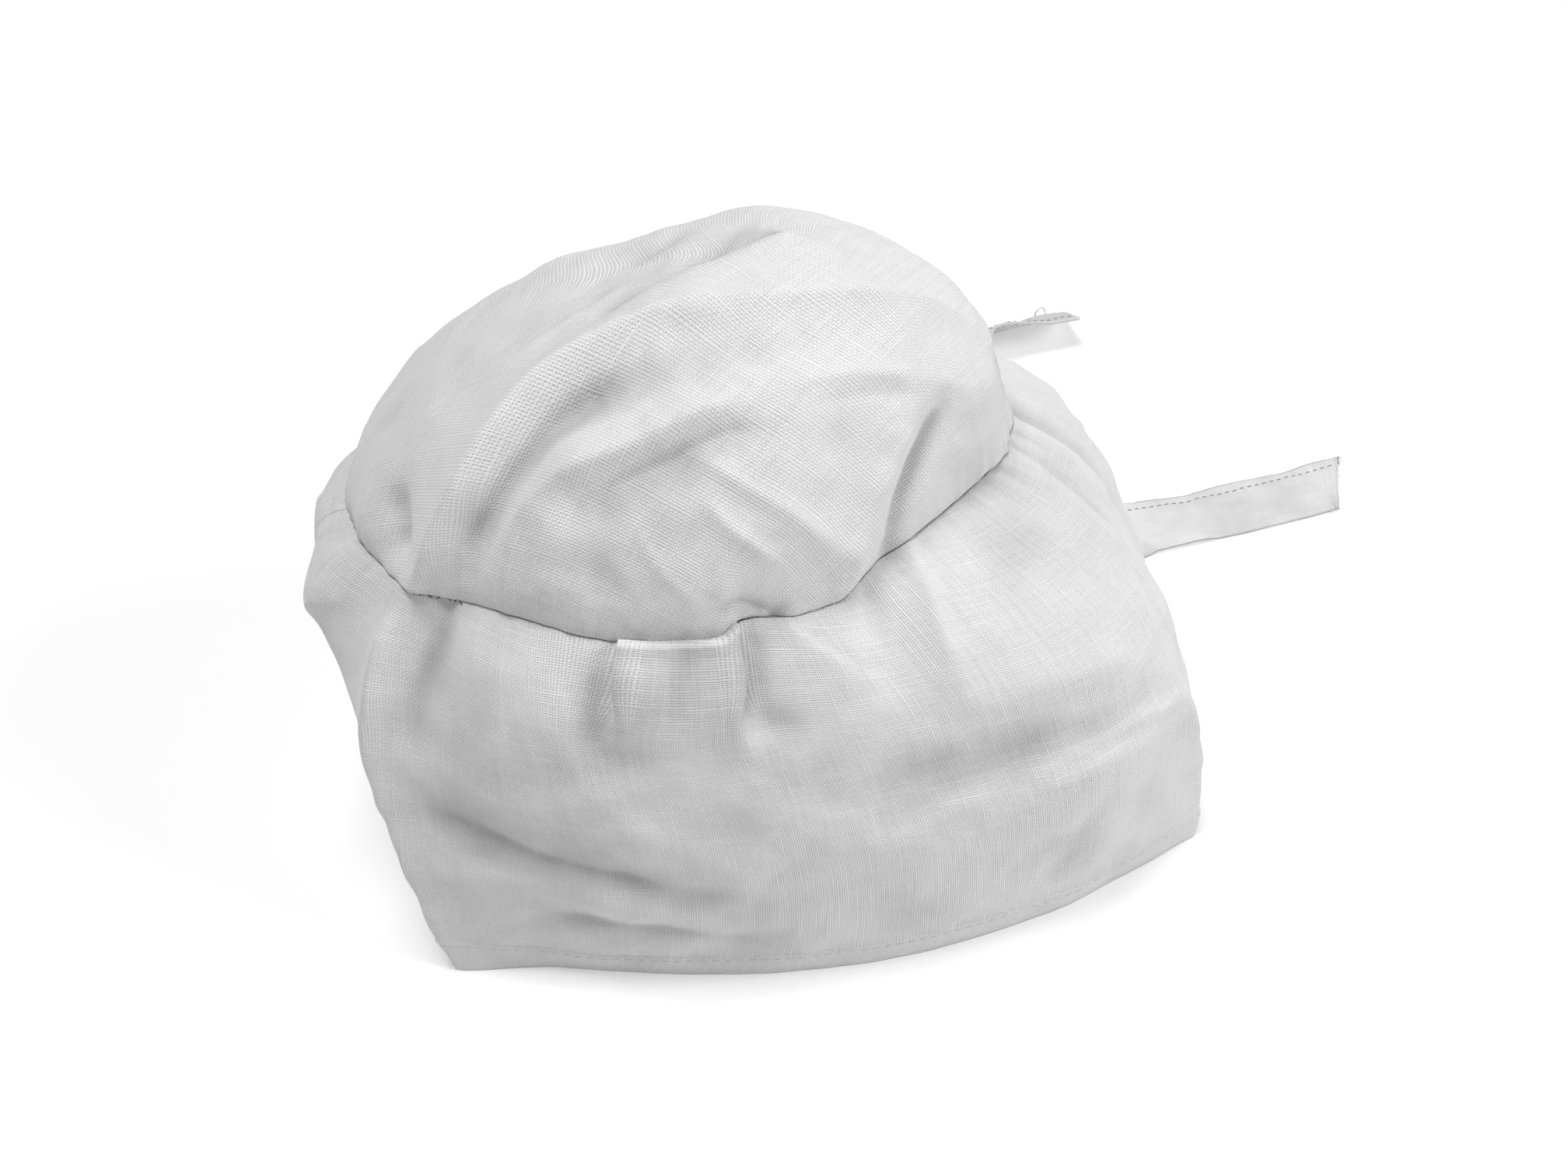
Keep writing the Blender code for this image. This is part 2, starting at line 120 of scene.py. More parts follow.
FOLDS = (
    Fold("main_ridge", ((35.5, 1.0), (37.5, 1.20), (35, 1.40), (33, 1.53), (40, 1.66)), 8, 4.2, CRISP),
    Fold("main_ridge_top", ((34, 1.56), (48, 1.72), (85, 1.79), (120, 1.75), (152, 1.57), (165, 1.27)),
         9, 2.0, CRISP),
    Fold("main_ridge_valley", ((44, 1.09), (44.5, 1.20), (45, 1.32), (46, 1.46), (54, 1.57)), 7, -3.6),
    Fold("main_ridge_hollow", ((50, 1.56), (62, 1.63), (85, 1.68), (115, 1.66)), 10, -1.6),
    Fold("second_ridge_foot", ((50, 1.04), (49, 1.20), (52, 1.34)), 7, 1.6, CRISP),
    Fold("second_ridge", ((50, 1.32), (58, 1.41), (74, 1.52), (90, 1.56)), 6, 2.8, CRISP),
    Fold("second_ridge_valley", ((57, 1.26), (65, 1.36), (77, 1.44), (92, 1.48)), 7, -2.0),
    Fold("cross_crease", ((98, 1.57), (113, 1.54), (130, 1.43), (147, 1.27)), 6, 1.4, CRISP),
    Fold("side_crease_upper", ((77, 1.47), (97, 1.30), (113, 1.06)), 5, 1.2, CRISP),
    Fold("side_crease_lower", ((81, 1.36), (89, 1.26), (97, 1.16)), 5, 1.2, CRISP),
    Fold("sliver_fold", ((136, 1.34), (127, 1.25), (120, 1.14), (117, 1.02)), 3.6, -2.4),
    Fold("sliver_ridge", ((128, 1.36), (119, 1.25), (112, 1.13), (110, 1.03)), 5, 1.7, CRISP),
    Fold("back_bulge", ((146, 1.05), (150, 1.20), (146, 1.34)), 9, 2.5),
    Fold("front_dent", ((22, 1.18), (28, 1.13), (31, 1.08)), 5, -2.2),
    Fold("front_dent_ridge", ((6, 1.34), (13, 1.20), (20, 1.07)), 6, 1.8, CRISP),
    Fold("top_crease_long", ((24, 1.56), (12, 1.65), (-4, 1.72), (-42, 1.79), (-88, 1.86)),
         4, -1.4, CRISP),
    Fold("top_crease_short", ((-50, 1.62), (-57, 1.66), (-68, 1.71)), 4, -1.2, CRISP),
    Fold("far_bulge", ((-140, 1.66), (-118, 1.70), (-96, 1.74)), 14, 2.5),
    Fold("far_side_fold", ((-40, 1.10), (-55, 1.30), (-75, 1.45)), 9, 3.0, CRISP),
    Fold("far_side_valley", ((-95, 1.08), (-100, 1.28), (-110, 1.45)), 9, -1.2),
    Fold("front_corner", ((33.5, 0.94), (32.5, 0.84), (31.5, 0.66), (31, 0.50), (33, 0.25), (34, 0.0)),
         7, 3.6, CRISP),
    Fold("front_corner_valley", ((41, 0.93), (39.5, 0.82), (37.5, 0.68), (37, 0.55)), 6, -1.7),
    Fold("front_face_ridge", ((24, 0.86), (16, 0.66), (8, 0.50)), 8, 3.0, CRISP),
    Fold("front_face_valley", ((10, 0.95), (6, 0.80), (-2, 0.66)), 8, -1.8),
    Fold("left_low_valley", ((33, 0.44), (44, 0.43), (57, 0.41), (69, 0.34), (80, 0.29)), 8, -1.4),
    Fold("left_low_valley_2", ((48, 0.24), (58, 0.22), (69, 0.19), (83, 0.10)), 6, -1.4, CRISP),
    Fold("left_low_ridge", ((40, 0.33), (52, 0.32), (66, 0.27), (78, 0.20)), 6, 1.2, CRISP),
    Fold("pleat_shadow", ((66, 0.92), (64, 0.84), (62, 0.76)), 5, -1.4),
    Fold("pleat_right_valley", ((90, 0.95), (87, 0.84), (90, 0.77)), 4, -1.8),
    Fold("tuck_ridge", ((98, 0.97), (102, 0.90), (106, 0.84)), 5, 2.0, CRISP),
    Fold("gather_ridge", ((120, 0.99), (117, 0.90), (114, 0.80), (113, 0.68)), 8, 3.2, CRISP),
    Fold("gather_valley", ((112, 0.97), (109, 0.88), (106, 0.78)), 6, -1.8),
    Fold("back_side_ridge", ((118, 0.72), (127, 0.69), (136, 0.65)), 8, 2.5, CRISP),
    Fold("back_side_valley", ((97, 0.58), (111, 0.59), (127, 0.55), (141, 0.45)), 9, -1.9),
    Fold("back_low_ridge", ((114, 0.48), (126, 0.48), (138, 0.44)), 6, 1.8, CRISP),
    Fold("back_corner", ((142, 0.52), (143, 0.36), (145, 0.18), (145, 0.0)), 6, 3.0, CRISP),
    Fold("back_gather_1", ((152, 0.98), (150, 0.88), (149, 0.74)), 6, 2.5),
    Fold("back_gather_2", ((159, 0.98), (157, 0.88), (154, 0.78)), 4, -2.5),
    Fold("back_gather_3", ((166, 0.99), (164, 0.88), (161, 0.76)), 6, 2.5),
    Fold("back_gather_4", ((173, 0.99), (172, 0.88), (171, 0.78)), 4, -2.2),
    Fold("back_lap", ((181, 0.99), (181, 0.70), (181, 0.40), (181, 0.08)), 3, 1.0),
    Fold("back_far_gather", ((196, 0.98), (199, 0.86), (203, 0.72)), 7, 3.0),
    Fold("far_corner", ((215, 0.0), (216, 0.25), (218, 0.50)), 9, 3.0, CRISP),
    Fold("far_low_valley", ((232, 0.35), (250, 0.42), (272, 0.40), (292, 0.30)), 9, -1.4),
    Fold("far_pleat_ridge", ((256, 0.99), (258, 0.86), (262, 0.72)), 8, 3.2),
    Fold("far_pleat_valley", ((268, 0.99), (269, 0.88), (272, 0.78)), 5, -1.3),
    Fold("far_front_ridge", ((300, 0.90), (296, 0.70), (300, 0.50)), 10, 3.0, CRISP),
    Fold("far_front_corner", ((322, 0.0), (323, 0.22), (325, 0.45)), 9, 3.0, CRISP),
)

# Smaller folds and creases that the solids leave out
FINE_FOLDS = (
    Fold("main_ridge_edge", ((36, 1.04), (38, 1.24), (35, 1.40), (33, 1.53), (42, 1.68),
                             (80, 1.77)), 4, 1.8, CRISP, CROWN),
    Fold("second_ridge_edge", ((50, 1.12), (50, 1.28), (60, 1.41), (75, 1.50)), 2.4, 0.8, CRISP, CROWN),
    Fold("sliver_line", ((134, 1.32), (126, 1.24), (120, 1.13), (118, 1.03)), 1.6, -1.2, CRISP, CROWN),
    Fold("diagonal_upper", ((78, 1.46), (88, 1.38), (98, 1.28), (108, 1.12)), 2, 0.8, CRISP, CROWN),
    Fold("diagonal_lower", ((82, 1.35), (90, 1.25), (98, 1.14)), 1.8, 0.8, CRISP, CROWN),
    Fold("diagonal_third", ((70, 1.30), (76, 1.20), (84, 1.10)), 1.8, 0.6, CRISP, CROWN),
    Fold("cross_line", ((100, 1.56), (115, 1.53), (130, 1.43)), 1.8, 0.6, CRISP, CROWN),
    Fold("cross_line_low", ((104, 1.50), (118, 1.46), (132, 1.36)), 2.2, -0.6, CRISP, CROWN),
    Fold("dent_edge", ((31, 1.22), (33, 1.13), (31, 1.04)), 2.2, 0.7, CRISP, CROWN),
    Fold("top_line", ((26, 1.58), (12, 1.66), (-6, 1.73), (-44, 1.80)), 2, -1.0, CRISP, CROWN),
    Fold("top_line_2", ((18, 1.50), (4, 1.58), (-14, 1.64)), 1.8, 0.6, CRISP, CROWN),
    Fold("front_corner_edge", ((32.5, 0.93), (32, 0.80), (31.5, 0.66), (31, 0.50), (33, 0.25), (34, 0.0)),
         2.6, 2.8, CRISP, BAND),
    Fold("back_corner_edge", ((142.5, 0.50), (143, 0.36), (145, 0.18), (145, 0.0)),
         2.4, 1.6, CRISP, BAND),
    Fold("low_line", ((36, 0.45), (46, 0.44), (58, 0.41), (70, 0.34)), 3, -1.3, CRISP, BAND),
    Fold("low_line_2", ((50, 0.235), (60, 0.22), (72, 0.18)), 2.4, -1.0, CRISP, BAND),
    Fold("hem_fold", ((86, 0.085), (94, 0.075), (103, 0.07)), 1.6, 0.5, CRISP, BAND),
    Fold("tuck_small", ((101, 0.95), (103.5, 0.88), (107, 0.85)), 2.2, -1.4, CRISP, BAND),
    Fold("gather_line", ((119.5, 0.98), (116.5, 0.90), (113.5, 0.80)), 2.4, 1.1, CRISP, BAND),
    Fold("thin_ridge", ((117, 0.52), (126, 0.53), (134, 0.51), (140, 0.47), (143, 0.54)),
         2.2, 1.1, CRISP, BAND),
    Fold("back_crease", ((148, 0.78), (145, 0.68), (144, 0.56)), 1.8, -1.1, CRISP, BAND),
    Fold("ridge_shade", ((41.5, 1.12), (42.5, 1.24), (43, 1.36), (44, 1.48), (51, 1.58)),
         4, -2.2, SOFT, CROWN),
    Fold("ridge_crest_top", ((36, 1.55), (46, 1.72), (82, 1.79), (120, 1.75), (152, 1.57), (165, 1.30)),
         3, 1.1, CRISP, CROWN),
    Fold("second_shade", ((60, 1.34), (69, 1.42), (82, 1.49), (92, 1.49)), 3, -1.5, CRISP, CROWN),
    Fold("second_crest", ((52, 1.33), (60, 1.42), (75, 1.53), (90, 1.57)), 3, 1.0, CRISP, CROWN),
    Fold("seam_tuck", ((86, 1.10), (90, 1.06), (96, 1.01)), 2.4, -1.7, CRISP, CROWN),
    Fold("face_shade", ((40.5, 0.96), (39, 0.88), (37.5, 0.80), (36, 0.70), (35, 0.60)),
         5, -2.4, SOFT, BAND),
    Fold("top_crease_shade", ((-44, 1.60), (-52, 1.64), (-66, 1.70)), 3, -0.5, SOFT, CROWN),
    Fold("gather_shade", ((122.5, 0.98), (119.5, 0.91), (116, 0.83)), 3.0, -1.1, SOFT, BAND),
    Fold("dent_deep", ((24, 1.20), (29, 1.15), (31, 1.09)), 4.4, -2.0, SOFT, CROWN),
    Fold("pleat_dip", ((80, 0.975), (77, 0.91), (74, 0.83)), 4, -1.1, SOFT, BAND),
    Fold("pleat_dip_side", ((84.5, 0.93), (82.5, 0.86), (80.5, 0.79)), 2.4, -0.6, CRISP, BAND),
    Fold("bright_left", ((52, 0.93), (50, 0.80), (48, 0.68)), 5.0, 1.0, SOFT, BAND),
    Fold("face_line", ((26, 0.84), (18, 0.66), (10, 0.52)), 2.2, 0.9, CRISP, BAND),
    Fold("far_line", ((228, 0.38), (250, 0.46), (275, 0.44), (296, 0.33)), 2.6, 1.1, CRISP, BAND),
    Fold("far_line_low", ((240, 0.20), (262, 0.26), (285, 0.22)), 2.2, -0.7, CRISP, BAND),
    Fold("far_gather_line", ((266, 0.97), (267, 0.88), (270, 0.78)), 2.2, 1.1, CRISP, BAND),
    Fold("far_gather_line_2", ((243, 0.97), (246, 0.86), (251, 0.74)), 2.2, 0.9, CRISP, BAND),
    Fold("far_crown_line", ((262, 1.10), (256, 1.28), (246, 1.45), (230, 1.58)),
         3.0, 1.3, CRISP, CROWN),
    Fold("far_crown_line_2", ((300, 1.12), (290, 1.30), (275, 1.44)), 2.8, 1.1, CRISP, CROWN),
    Fold("back_crown_line", ((185, 1.08), (192, 1.25), (205, 1.42)), 2.6, 1.1, CRISP, CROWN),
    Fold("back_diagonal", ((188, 0.82), (198, 0.66), (209, 0.52)), 2.6, 1.0, CRISP, BAND),
    Fold("back_diagonal_2", ((176, 0.66), (167, 0.52), (160, 0.40)), 2.4, 0.9, CRISP, BAND),
    Fold("face_diagonal", ((-8, 0.88), (-18, 0.66), (-24, 0.46)), 2.8, 1.1, CRISP, BAND),
    Fold("back_pucker_1", ((154, 1.0), (152.5, 0.93), (151, 0.86)), 2.0, 0.9, CRISP, BAND),
    Fold("back_pucker_2", ((162, 1.0), (160.5, 0.93), (158, 0.85)), 2.0, 0.9, CRISP, BAND),
    Fold("back_pucker_3", ((170, 1.0), (169.5, 0.92), (168, 0.84)), 2.0, 0.9, CRISP, BAND),
)


def smooth_step(low: float, high: float, value: np.ndarray) -> np.ndarray:
    """Rise smoothly from 0 at low to 1 at high.

    Args:
        low: the value where the rise starts.
        high: the value where it ends.
        value: what is judged.

    Returns:
        3t^2 - 2t^3, where t is the share of the way from low to high.
    """
    t = np.clip((value - low) / (high - low), 0.0, 1.0)
    return t * t * (3.0 - 2.0 * t)


def curve_through(points: np.ndarray, count: int) -> np.ndarray:
    """Read a Catmull-Rom curve through points at even steps.

    Args:
        points: one row for each place that the curve passes.
        count: how many places to read.

    Returns:
        One row for each place read, of the same width as points.
    """
    points = np.asarray(points, float)
    ends = np.concatenate([[2 * points[0] - points[1]], points, [2 * points[-1] - points[-2]]])
    s = np.linspace(0, len(points) - 1, count)
    i = np.minimum(s.astype(int), len(points) - 2)
    t = (s - i)[:, None]
    a, b, c, d = ends[i], ends[i + 1], ends[i + 2], ends[i + 3]
    return 0.5 * (2 * b + (c - a) * t + (2 * a - 5 * b + 4 * c - d) * t**2
                  + (3 * b - a - 3 * c + d) * t**3)


def run_along(line: np.ndarray) -> np.ndarray:
    """Length of a line of points from its start to each of them."""
    return np.concatenate([[0], np.cumsum(np.linalg.norm(np.diff(line, axis=0), axis=1))])


def read_along(line: np.ndarray, run: np.ndarray, places: np.ndarray) -> np.ndarray:
    """Points of a line at these lengths along it, where run holds the length at each point."""
    return np.stack([np.interp(places, run, line[:, k]) for k in range(3)], -1)


def unit(vectors: np.ndarray) -> np.ndarray:
    """Scale every vector to length one."""
    return vectors / np.maximum(np.linalg.norm(vectors, axis=-1, keepdims=True), 1e-12)


@dataclass
class Waves:
    """A random field: the sum of plane waves with seeded directions and phases.

    Each wave is a sine, or where the field is crisp the arcsine of a slightly lowered sine, which
    is a triangle with blunted tips.
    """

    seed: int
    length: float
    count: int = 28
    stretch: tuple[float, float, float] = (1.0, 1.0, 1.0)
    crisp: bool = False
    lengths: tuple[float, float] = (0.7, 1.5)
    tip: float = 0.985
    crisp_scale: float = 1.1

    def at(self, points: np.ndarray) -> np.ndarray:
        """Field at each point: the waves' sum over the root of half their number.

        Args:
            points: places in metres, with x, y and z last.

        Returns:
            Values of about -2.5 to 2.5, one for each point.
        """
        random = np.random.default_rng(self.seed)
        direction = unit(random.normal(size=(self.count, 3)))
        size = 2 * math.pi / (self.length * random.uniform(*self.lengths, self.count))
        phase = random.uniform(0, 2 * math.pi, self.count)
        total = np.zeros(points.shape[:-1])
        scaled = points * np.array(self.stretch)
        for way, k, start in zip(direction, size, phase):
            wave = np.sin(scaled @ (way * k) + start)
            total += np.arcsin(self.tip * wave) / self.crisp_scale if self.crisp else wave
        return total / math.sqrt(self.count / 2)


@dataclass
class CapShape:
    """The folded cloth of band and crown as one surface over azimuth and level."""

    top: tuple[float, float, float] = (-6 * MM, 13 * MM, 161 * MM)
    band_slant: float = 125 * MM
    crown_slant: float = 96 * MM
    samples: int = 20
    taper: float = 0.22
    taper_start: float = -0.05
    roll_power: float = 2.2
    roll_rise: float = 0.5
    slope_steps: tuple[float, float] = (0.6, 0.035)
    slope_end: float = 1.93
    level_end: float = 1.99
    rim_blend: float = 0.10
    blunt: float = 0.18
    reach: tuple[float, float] = (3.0, 4.5)
    edge_levels: tuple[float, float, float] = (0.05, 0.95, 1.06)
    seam_fade: tuple[float, float] = (0.72, 1.30)
    table: np.ndarray = field(default_factory=lambda: np.array(SECTIONS, float))

    def row(self, azimuth: np.ndarray) -> dict[str, np.ndarray]:
        """Every column of the section table at each azimuth.

        Cubic Hermite curves join the rows and close on themselves; a row's slope is the mean of
        its two spans' slopes, weighted by the other span.

        Args:
            azimuth: degrees.

        Returns:
            Column name to its values, in millimetres where the column is a length.
        """
        knots, values = self.table[:, 0], self.table[:, 1:]
        knots = np.concatenate([[knots[-1] - 360], knots, [knots[0] + 360, knots[1] + 360]])
        values = np.concatenate([values[-1:], values, values[:2]])
        span = np.diff(knots)[:, None]
        slope = np.diff(values, axis=0) / span
        tangent = (slope[:-1] * span[1:] + slope[1:] * span[:-1]) / (span[1:] + span[:-1])
        azimuth = np.mod(azimuth, 360)
        left = np.clip(np.searchsorted(knots, azimuth, side="right") - 1, 1, len(self.table))
        step = (knots[left + 1] - knots[left])[..., None]
        t = (azimuth - knots[left])[..., None] / step
        read = ((2 * t**3 - 3 * t**2 + 1) * values[left] + (t**3 - 2 * t**2 + t) * step * tangent[left - 1]
                + (3 * t**2 - 2 * t**3) * values[left + 1] + (t**3 - t**2) * step * tangent[left])
        return {name: read[..., i] for i, name in enumerate(SECTION_COLUMNS[1:])}

    def plain(self, azimuth: np.ndarray, level: np.ndarray) -> np.ndarray:
        """Points of the cloth without folds.

        The band is a parabola through rim, belly and seam with a roll of puff * sin(pi v^2.2)
        under the seam.  The crown is a quarter of a superellipse: cos(t)^full inward and
        sin(t) upward, from the seam to the top.

        Args:
            azimuth: degrees.
            level: 0 rim, 1 seam, 2 top.

        Returns:
            Points in metres.
        """
        azimuth, level = np.broadcast_arrays(np.asarray(azimuth, float), np.asarray(level, float))
        row = self.row(azimuth)
        v = np.clip(level, 0, 1)
        rim, belly, seam = (1 - v) * (1 - 2 * v), 4 * v * (1 - v), v * (2 * v - 1)
        x = rim * row["rim_x"] + belly * row["belly_x"] + seam * row["seam_x"]
        y = rim * row["rim_y"] + belly * row["belly_y"] + seam * row["seam_y"]
        z = belly * row["belly_z"] + seam * row["seam_z"]
        roll = row["puff"] * np.sin(np.pi * v**self.roll_power)
        radius = np.hypot(x, y) + 1
        band = np.stack([x + roll * x / radius, y + roll * y / radius, z + self.roll_rise * roll], -1) * MM
        turn = np.clip(level - 1, 0, 1) * np.pi / 2
        inward = np.cos(turn)[..., None] ** row["full"][..., None]
        edge = np.stack([row["seam_x"], row["seam_y"], row["seam_z"]], -1) * MM
        top = np.array(self.top)
        crown = top + (edge - top) * inward
        crown[..., 2] = edge[..., 2] + (top[2] - edge[..., 2]) * np.sin(turn)
        return np.where((level <= 1)[..., None], band, crown) + self.seam_shift(azimuth, level)

    def seam_shift(self, azimuth: np.ndarray, level: np.ndarray) -> np.ndarray:
        """Moves of the cloth beside the seam, which give it straight runs with bends between them.

        The moves are read along straight lines between SEAM_RUNS, averaged over a degree, and
        fade with smooth steps into the band and the crown.

        Args:
            azimuth: degrees.
            level: 0 rim, 1 seam, 2 top.

        Returns:
            Metres to add to each point.
        """
        at, down = np.array(SEAM_RUNS).T
        spread = (-self.slope_steps[0], 0.0, self.slope_steps[0])
        run = np.mean([np.interp(np.mod(azimuth + step, 360), at, down) for step in spread], axis=0)
        near = smooth_step(self.seam_fade[0], 1.0, level) * (1 - smooth_step(1.0, self.seam_fade[1], level))
        return (run * near * MM)[..., None] * np.array(SEAM_DOWN)

    def outward(self, azimuth: np.ndarray, level: np.ndarray) -> np.ndarray:
        """Unit normals of the plain cloth, turned level at the rim.

        Args:
            azimuth: degrees.
            level: 0 rim, 1 seam, 2 top.

        Returns:
            The cross product of the steps along azimuth and level, made one long.
        """
        near, up = self.slope_steps
        level = np.minimum(level, self.slope_end)
        along = self.plain(azimuth + near, level) - self.plain(azimuth - near, level)
        rising = (self.plain(azimuth, np.minimum(level + up, self.level_end))
                  - self.plain(azimuth, np.maximum(level - up, 0)))
        normal = np.cross(along, rising)
        normal[..., 2] *= smooth_step(0.0, self.rim_blend, level)
        return unit(normal)

    def fold_height(self, points: np.ndarray, folds: tuple[Fold, ...], part: Part) -> np.ndarray:
        """Height of all folds at each point of the plain cloth.

        A soft fold falls off as exp(-(d/w)^2) with the distance d from its spine and its half
        width w, a crisp one as exp(-(sqrt(d^2 + e^2) - e)/w), with a small e that blunts its tip.
        A fold fades at its ends, except where it starts or ends at the rim or the seam.

        Args:
            points: plain places in metres.
            folds: the folds to add up.
            part: the cloth that is being made.

        Returns:
            Metres along the normal, above 0 outward.
        """
        flat = points.reshape(-1, 3)
        total = np.zeros(len(flat))
        for fold in folds:
            if fold.part not in (part, Part.BOTH):
                continue
            course = curve_through(np.array(fold.places), self.samples)
            spine = self.plain(course[:, 0], course[:, 1])
            width = fold.width * MM
            crisp = fold.crease is Crease.CRISP
            reach = width * self.reach[crisp]
            close = ((flat > spine.min(0) - reach) & (flat < spine.max(0) + reach)).all(-1)
            near = flat[close]
            s = np.linspace(0, 1, self.samples)
            rim, low, high = self.edge_levels
            open_ends = [float(level <= rim or low <= level <= high)
                         for level in (fold.places[0][1], fold.places[-1][1])]
            strength = (np.maximum(smooth_step(self.taper_start, self.taper, s), open_ends[0])
                        * np.maximum(smooth_step(self.taper_start, self.taper, 1 - s), open_ends[1]))
            best = np.zeros(len(near))
            for a, b, first, last in zip(spine[:-1], spine[1:], strength[:-1], strength[1:]):
                step = b - a
                t = np.clip((near - a) @ step / (step @ step), 0, 1)
                apart = np.linalg.norm(near - a - t[:, None] * step, axis=-1)
                if crisp:
                    blunt = self.blunt * width
                    profile = np.exp(-(np.sqrt(apart**2 + blunt**2) - blunt) / width)
                else:
                    profile = np.exp(-((apart / width) ** 2))
                best = np.maximum(best, profile * (first + (last - first) * t))
            total[close] += fold.height * MM * best
        return total.reshape(points.shape[:-1])

    def crumple(self, points: np.ndarray) -> np.ndarray:
        """Small dents and creases of washed cotton.

        One smooth field gives the dents; crisp fields of a few waves give flat facets with sharp
        folds between them, and the fold lines of -|field| give short fine creases.

        Args:
            points: plain places in metres.

        Returns:
            Metres along the normal.
        """
        dents = 0.24 * MM * Waves(11, 46 * MM).at(points) + 0.10 * MM * Waves(12, 17 * MM).at(points)
        creases = (0.30 * MM * Waves(13, 40 * MM, 7, (1, 1, 1.5), True).at(points)
                   + 0.13 * MM * Waves(15, 18 * MM, 8, (1, 1, 1.3), True).at(points))
        fine = -0.11 * MM * np.abs(Waves(14, 11 * MM, 10, crisp=True).at(points))
        return dents + creases + fine

    def puckers(self, azimuth: np.ndarray, distance: np.ndarray) -> np.ndarray:
        """Small gathers beside the seam.

        Two rows of waves round the cap beat against each other and fade with exp(-d/length).  They
        are higher at the back's gathers and at the pinch on the left front.

        Args:
            azimuth: degrees.
            distance: metres from the seam.

        Returns:
            Metres along the normal.
        """
        angle = np.radians(azimuth)
        beat = (np.sin(61 * angle + 1.3 * np.sin(7 * angle))
                + 0.7 * np.sin(97 * angle + 2.1 * np.sin(5 * angle + 1)))
        back_gathers = 4.0 * np.exp(-((azimuth - 165) / 22) ** 2)
        front_pinch = 2.0 * np.exp(-((azimuth - 38) / 8) ** 2)
        height, length = 0.10 * MM, 6.5 * MM
        return height * beat * (1 + back_gathers + front_pinch) * np.exp(-distance / length)


@dataclass
class BoxPleat:
    """The pleat on the left side: a panel whose two edges are true folds of the cloth.

    Across an edge the cloth runs past it, turns back over itself and runs on, so the azimuth of
    its lines goes forward, back and forward again while its height rises to the panel's.
    """

    left: tuple[float, float] = (71.5, 64.5)
    right: tuple[float, float] = (88.0, 83.5)
    levels: tuple[float, float] = (0.78, 1.0)
    height: float = 3.4 * MM
    rise: float = 1.2 * MM
    half: float = 3.2
    swing: float = 3.3
    lines: int = 30
    lean_from: float = 54.0
    lean_to: float = 106.0
    tight: tuple[float, float] = (0.80, 0.93)
    fade: tuple[float, float] = (0.68, 0.90)
    belly: float = 0.8 * MM
    belly_levels: tuple[float, float] = (0.74, 0.86)

    def lines_for(self, spacing: float) -> np.ndarray:
        """Line numbers, in degrees, right round the cap and closer together over the edges."""
        keep = np.arange(0, 360, spacing)
        for edge in (self.left[0], self.right[0]):
            keep = keep[np.abs(keep - edge) > self.half]
            keep = np.append(keep, np.linspace(edge - self.half, edge + self.half, self.lines))
        return np.sort(keep)

    def carry(self, line: np.ndarray, level: np.ndarray) -> tuple[np.ndarray, np.ndarray]:
        """Azimuth and height of each line at each level.

        Args:
            line: the line's number in degrees, its azimuth where there is no pleat.
            level: 0 rim to 1 seam.

        Returns:
            The azimuth in degrees and the height in metres.
        """
        down = np.clip((self.levels[1] - level) / (self.levels[1] - self.levels[0]), 0, 1)
        (left, left_foot), (right, right_foot) = self.left, self.right
        lean = (smooth_step(self.lean_from, left, line) * (1 - smooth_step(left, right, line))
                * (left_foot - left)
                + smooth_step(left, right, line) * (1 - smooth_step(right, self.lean_to, line))
                * (right_foot - right))
        azimuth = line + lean * down
        tight = smooth_step(*self.tight, level)
        panel = np.ones_like(line + level)
        for edge, side in ((left, 1), (right, -1)):
            t = np.clip((line - edge) / self.half, -1, 1)
            azimuth = azimuth - self.swing * tight * np.sin(np.pi * t) * (1 - t**2)
            panel = panel * smooth_step(-0.5, 0.5, side * t + 0 * level)
        middle = np.clip((line - left) / (right - left), 0, 1)
        belly = self.belly * np.sin(np.pi * middle) * smooth_step(*self.belly_levels, level)
        fade = smooth_step(*self.fade, level)
        return azimuth, panel * (self.height * fade + belly)


def seam_roll(distance: np.ndarray, radius: float) -> np.ndarray:
    """How far the cloth rolls in as it nears the seam: a quarter circle of this radius.

    Args:
        distance: metres from the seam.
        radius: the roll's radius in metres.

    Returns:
        0 to 1, the share of the full height that is left.
    """
    t = np.clip(distance / radius, 0, 1)
    return np.sqrt(np.clip(1 - (1 - t) ** 2, 0, 1))


def grid_faces(rows: int, columns: int, closed: bool) -> np.ndarray:
    """Quads over a grid of vertices, row after row.

    Args:
        rows: how many rows of vertices.
        columns: how many vertices in a row.
        closed: whether the last column joins the first.

    Returns:
        Four vertex numbers for each quad.
    """
    i, j = np.meshgrid(np.arange(rows - 1), np.arange(columns if closed else columns - 1), indexing="ij")
    right = (j + 1) % columns
    low, high = i * columns, (i + 1) * columns
    return np.stack([low + j, low + right, high + right, high + j], -1).reshape(-1, 4)


def add_object(name: str, data: bpy.types.ID) -> bpy.types.Object:
    """Add an object with this data to the scene."""
    made = bpy.data.objects.new(name, data)
    bpy.context.scene.collection.objects.link(made)
    return made


